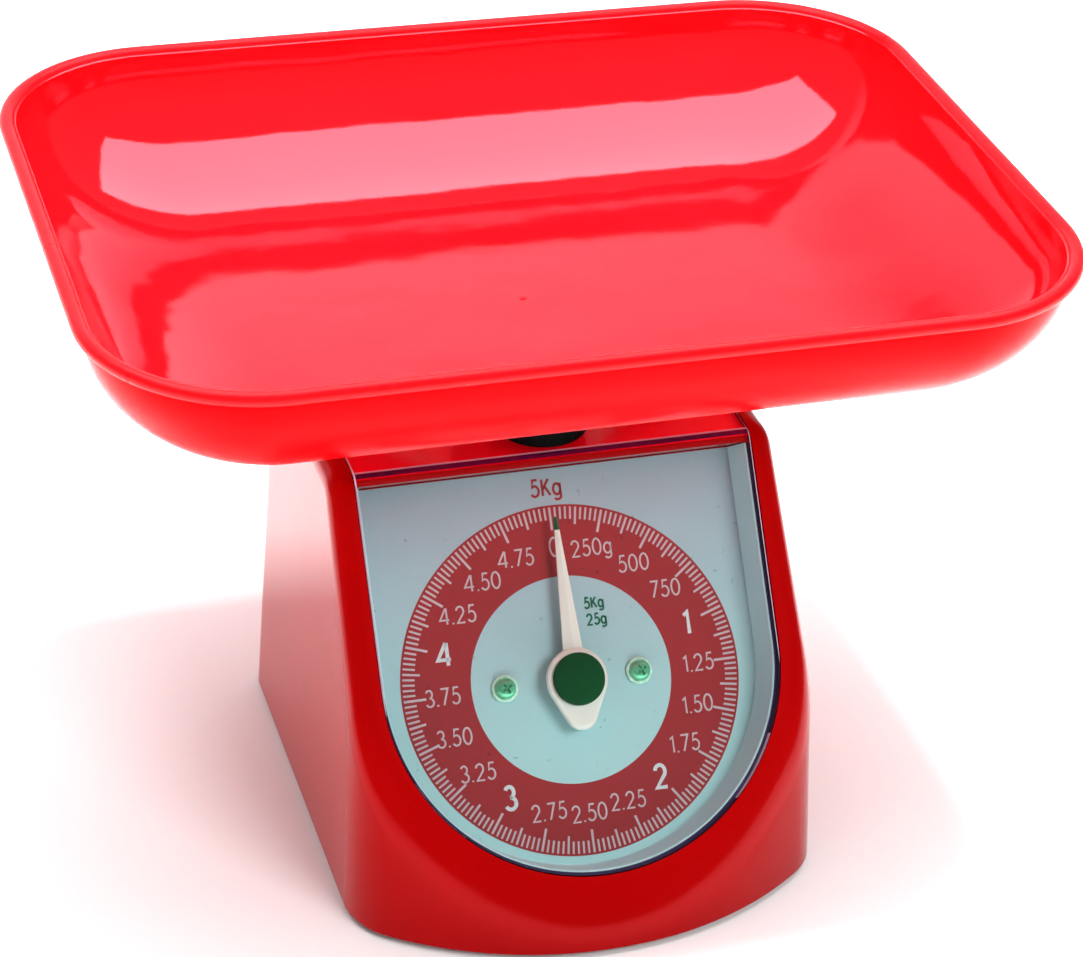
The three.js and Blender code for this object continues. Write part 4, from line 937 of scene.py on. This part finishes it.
def spring(side):
    """Extension spring: close coil with a straight lead along its axis at each end."""
    low, high = node_box(f"spring_{side}")
    (centre_x, centre_y, _), half_width = node_middle(f"spring_{side}")
    wire, turns, steps = 0.7, 22, 440
    radius = half_width - wire
    coil_low, coil_high, neck, tip = -16.3, 14.3, 3, 0.2
    path = [(centre_x, centre_y, low.z + tip + (coil_low - neck - low.z) * t * 0.9)
            for t in np.linspace(0, 1, 5)]
    path += [(x, y, z) for (x, y), z in zip(
        arc(centre_x, centre_y, radius, 0, 360 * turns, steps),
        np.linspace(coil_low, coil_high, steps + 1))]
    path += [(centre_x, centre_y, coil_high + neck + (high.z - tip - coil_high - neck) * t)
             for t in np.linspace(0, 1, 5)]
    curve = bpy.data.curves.new("coil", "CURVE")
    curve.dimensions = "3D"
    curve.bevel_depth = wire * MM
    curve.bevel_resolution = 2
    curve.use_fill_caps = True
    spline = curve.splines.new("POLY")
    spline.points.add(len(path) - 1)
    for point, place in zip(spline.points, path):
        point.co = (*(DIAL + Vector(place) * MM), 1)
    thing = linked("coil", curve)
    graph = bpy.context.evaluated_depsgraph_get()
    mesh = bpy.data.meshes.new_from_object(thing.evaluated_get(graph))
    bpy.data.objects.remove(thing)
    coil = linked(f"coil_spring_{side}", mesh)
    mesh.materials.clear()
    mesh.materials.append(SPRING_STEEL)
    mesh.shade_smooth()
    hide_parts(f"spring_{side}")
    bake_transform(coil)


spring("left")
spring("right")


# ---------- pan

PAN_LOW, PAN_HIGH = node_box("pan")
PAN_Y = (PAN_LOW.y + PAN_HIGH.y) / 2
BEAD = 1.95
RIM_HALF_X = PAN_HIGH.x - BEAD
RIM_HALF_Y = (PAN_HIGH.y - PAN_LOW.y) / 2 - BEAD
RIM_Z = PAN_HIGH.z - BEAD
RIM_CORNER = 42
PEG = 4
PAN_DEPTH = RIM_Z - PAN_LOW.z - PEG
PAN_RUN = 46.4
PAN_WALL = 1.9
CORNER_SHRINK = 0.8
PAD = 8.0


def pan_ring(inset, z, corner_steps=22, side_steps=14):
    """Rounded rectangle with its sides moved inward by inset."""
    half_x, half_y = RIM_HALF_X - inset, RIM_HALF_Y - inset
    corner = max(RIM_CORNER - CORNER_SHRINK * max(inset, 0) - min(inset, 0), 3)
    corners = [arc(sx * (half_x - corner), sy * (half_y - corner), corner, 90 * quarter,
                   90 * (quarter + 1), corner_steps)
               for quarter, (sx, sy) in enumerate(((1, 1), (-1, 1), (-1, -1), (1, -1)))]
    points = []
    for here, ahead in zip(corners, corners[1:] + corners[:1]):
        (x0, y0), (x1, y1) = here[-1], ahead[0]
        points += here
        points += [(x0 + (x1 - x0) * s / side_steps, y0 + (y1 - y0) * s / side_steps)
                   for s in range(1, side_steps)]
    return [(x, y + PAN_Y, z) for x, y in points]


def pan():
    """Thin moulded pan: rolled bead, wall that curves into a flat floor, pegs underneath."""
    steps = 26
    outer, inner = [], []
    for step in range(steps + 1):
        angle = step / steps * math.pi / 2
        run, drop = 1 - math.cos(angle), math.sin(angle)
        outer.append(pan_ring(0.7 + PAN_RUN * run, RIM_Z - 0.9 - (PAN_DEPTH - 0.9) * drop))
        inner.append(pan_ring(PAN_WALL + 0.4 + (PAN_RUN - 0.5) * run,
                              RIM_Z + 0.2 - (PAN_DEPTH - PAN_WALL + 0.2) * drop))
    bead = [pan_ring(-BEAD * math.cos(a), RIM_Z + BEAD * math.sin(a))
            for a in np.linspace(-0.62, math.pi * 0.94, 16)]
    lip = [pan_ring(-BEAD * 0.45, RIM_Z - BEAD * 0.62), pan_ring(0.5, RIM_Z - BEAD * 0.5)]
    centre = np.array([0.0, PAN_Y, 0.0])

    def floor(ring, count):
        ring = np.array(ring)
        flat = ring * [1, 1, 0]
        return [flat * (1 - s) + centre * s + [0, 0, ring[0][2]]
                for s in np.linspace(0, 0.96, count)[1:]]

    rings = [*floor(outer[-1], 5)[::-1], *outer[::-1], *lip[::-1], *bead, *inner,
             *floor(inner[-1], 8)]
    bowl = piece("weighing_pan", *loft(rings), [RED, RED_UNDER, RED_RIM], "pan",
                 "red_plastic", ["pan"], crease=50)
    bead_low, bead_high = (DIAL.z + (RIM_Z + side * BEAD) * MM for side in (-1, 0.2))

    def finish(face):
        """0 gloss inside, 1 the underside, 2 the bead."""
        if face.center.z > bead_high:
            return 2
        if face.normal.z >= 0:
            return 0
        return 1 if face.center.z < bead_low else 2

    paint(bowl, finish)
    floor_z = RIM_Z - PAN_DEPTH + PAN_WALL
    mark = [(1.0, floor_z), (0.9, floor_z + 0.22), (0.35, floor_z + 0.3)]
    piece("moulding_mark", *loft(turned(mark, 24, (0, PAN_Y))), RED, "pan", "red_plastic")
    low, high = node_box("platform")
    pad_x, pad_y = high.x - PAD, (high.y - low.y) / 2 - PAD
    peg = [(1.9, PAN_LOW.z), (2.5, PAN_LOW.z + 0.6), (2.5, PAN_LOW.z + PEG + 0.6)]
    for corner, sx, sy in CORNERS:
        rings = turned(peg, 24, (sx * pad_x, PAN_Y + sy * pad_y))
        piece(f"pan_peg_{corner}", *loft(rings), RED, "pan", "red_plastic")


pan()


# ---------- platform


def bevelled(outline, z0, z1, bevel=0.7, steps=3):
    """Upright prism on an outline round its own middle, with rounded top and bottom edges."""
    outline = np.array(outline)
    middle = (outline.max(axis=0) + outline.min(axis=0)) / 2
    reach = np.abs(outline - middle).max(axis=0)
    rings = []
    turns = np.linspace(0, math.pi / 2, steps + 1)
    for end, way in ((z0, 1), (z1, -1)):
        for turn in turns[::way]:
            shrink = 1 - bevel * (1 - math.sin(turn)) / reach
            height = end + way * bevel * (1 - math.cos(turn))
            rings.append([(*(middle + (place - middle) * shrink), height) for place in outline])
    return raw("part", *loft(rings))


def platform():
    """Stem, hub and four arms with round pads that carry the pan."""
    low, high = node_box("platform")
    pad_x, pad_y = high.x - PAD, high.y - PAD - STEM_Y
    bottom, hub_half, hub_deep = high.z - 6, 21.0, 6.0
    body = bevelled(stadium(hub_half - hub_deep, hub_deep, 0, STEM_Y), bottom, high.z)
    parts = [bevelled(stadium(STEM_HALF - STEM_DEEP, STEM_DEEP, 0, STEM_Y), low.z, high.z - 1,
                      bevel=0.5)]
    root_x, arm, bevel, thick, peg_hole = 17.0, 4.0, 0.8, 5.9, 3.0
    for side in (-1, 1):
        for end in (-1, 1):
            run = Vector((side * (pad_x - root_x), end * pad_y))
            across = Vector((-run.y, run.x)).normalized()
            start = Vector((side * root_x, STEM_Y))
            sections = []
            for share, half in ((0.0, arm), (0.5, arm - 0.6), (1.0, arm)):
                place, flat = start + run * share, half - bevel
                profile = [(-half, bevel), (-flat, 0), (flat, 0), (half, bevel),
                           (half, thick - bevel), (flat, thick), (-flat, thick),
                           (-half, thick - bevel)]
                sections.append([(place.x + across.x * w, place.y + across.y * w, bottom + h)
                                 for w, h in profile])
            parts.append(raw("arm", *loft(sections)))
            ring = arc(side * pad_x, STEM_Y + end * pad_y, PAD, 0, 360, 48)[:-1]
            parts.append(bevelled(ring, bottom, high.z))
    combine(body, parts, "UNION")
    holes = [round_cut(peg_hole, side * pad_x, STEM_Y + end * pad_y, bottom - 2, high.z + 2, 32)
             for side in (-1, 1) for end in (-1, 1)]
    for side in ("left", "right"):
        x, _, z = node_middle(f"stem_screw_{side}")[0]
        ring = arc(x, z, SCREW_HOLE, 0, 360, 24)[:-1]
        holes.append(raw("hole", *loft([[(u, y, w) for u, w in ring]
                                        for y in (STEM_Y, STEM_Y + 8)])))
    finished(combine(body, holes), "pan_carrier", BLACK, "platform",
             ["platform"])


platform()


# ---------- CAD nodes that stay

KEPT = {"steel": STEEL, "black_plastic": BLACK, "brass": BRASS, "plated_steel": PLATED}
SLOTS = {entry["node"]: entry["material_slot"] for entry in frame["record"]["subparts"]}

for name, thing in frame["nodes"].items():
    if not thing.hide_render:
        thing.data.materials.clear()
        thing.data.materials.append(KEPT.get(SLOTS[name], STEEL))


# ---------- stage, light and camera

FLOOR_REACH = 4.0
WALL_Y, WALL_TOP, CURVE = 1.5, 1.3, 0.35


def stage_material(name, colour, shade):
    """Matt board with a slow drift between two tones."""
    material, tree, shader = new_material(name)
    tone = ramp(tree, noise(tree, 3.0), [(0.3, colour), (0.7, shade)])
    feed(tree, shader, {"Base Color": tone, "Roughness": 0.8})
    return material


def backdrop():
    """Pale floor that curves up into a low wall behind, a shade darker."""
    profile = [(-FLOOR_REACH, 0.0), *arc(WALL_Y - CURVE, CURVE, CURVE, -90, 0, 12),
               (WALL_Y, WALL_TOP)]
    points = [(x, y, z) for y, z in profile for x in (-FLOOR_REACH, FLOOR_REACH)]
    faces = [(2 * i, 2 * i + 1, 2 * i + 3, 2 * i + 2) for i in range(len(profile) - 1)]
    mesh = new_mesh("floor", points, faces)
    mesh.shade_smooth()
    mesh.materials.append(stage_material("pale_floor", (0.86, 0.86, 0.86), (0.84, 0.84, 0.84)))
    mesh.materials.append(stage_material("pale_wall", (0.56, 0.54, 0.58), (0.54, 0.52, 0.56)))
    floor = linked("floor", mesh)
    paint(floor, lambda face: int(face.center.z >= CURVE / 4))


def area_light(name, place, aim, size, power, seen=True):
    """Rectangular light; one that isn't seen leaves no reflection of itself."""
    data = bpy.data.lights.new(name, "AREA")
    data.shape = "RECTANGLE"
    data.size, data.size_y = size
    data.energy = power
    light = linked(name, data)
    light.location = place
    light.rotation_euler = (Vector(aim) - Vector(place)).to_track_quat("-Z", "Y").to_euler()
    light.visible_glossy = seen
    return light


def lights():
    """Wide overhead softbox with a dim border, fills from the front right and left, a dim
    room, and a smaller light straight above that throws the pan's shadow round the body."""
    pan_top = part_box("pan")[1].z
    x, y, wide, deep = 0.03, 0.22, 1.67, 1.12
    for name, rise, power in (("softbox", 1.0, 17), ("softbox_border", 1.15, 9)):
        softbox = area_light(name, (x, y, pan_top + rise), (x, y, 0), (wide * rise, deep * rise),
                             power)
        softbox.rotation_euler = (0, 0, 0)
    area_light("front_fill", (0.50, -1.15, 1.05), (0, 0, 0.06), (0.7, 0.6), 16, seen=False)
    area_light("left_fill", (-1.20, -0.10, 0.25), (0, 0, 0.05), (0.5, 0.3), 6, seen=False)
    area_light("overhead", (0.10, 0.12, 1.35), (0.10, 0.12, 0), (0.3, 0.3), 34, seen=False)
    world = bpy.data.worlds.new("room")
    bpy.context.scene.world = world
    world.use_nodes = True
    background = world.node_tree.nodes["Background"]
    background.inputs["Color"].default_value = (0.92, 0.95, 1.0, 1)
    background.inputs["Strength"].default_value = 0.15


def camera():
    """The photograph's viewpoint: from the front left and above, with a slight tilt."""
    azimuth, elevation, roll = math.radians(18.23), math.radians(31.58), math.radians(2.97)
    data = bpy.data.cameras.new("camera")
    data.sensor_width = 36
    data.lens = 106.65
    data.clip_end = 30
    eye = linked("camera", data)
    eye.location = DIAL + Vector((-0.22539, -0.65031, 0.48422))
    forward = Vector((math.sin(azimuth) * math.cos(elevation),
                      math.cos(azimuth) * math.cos(elevation), -math.sin(elevation)))
    turn = forward.to_track_quat("-Z", "Y").to_matrix() @ Matrix.Rotation(roll, 3, "Z")
    eye.rotation_euler = turn.to_euler()
    bpy.context.scene.camera = eye


backdrop()
lights()
camera()
bpy.context.scene.view_settings.view_transform = "Standard"
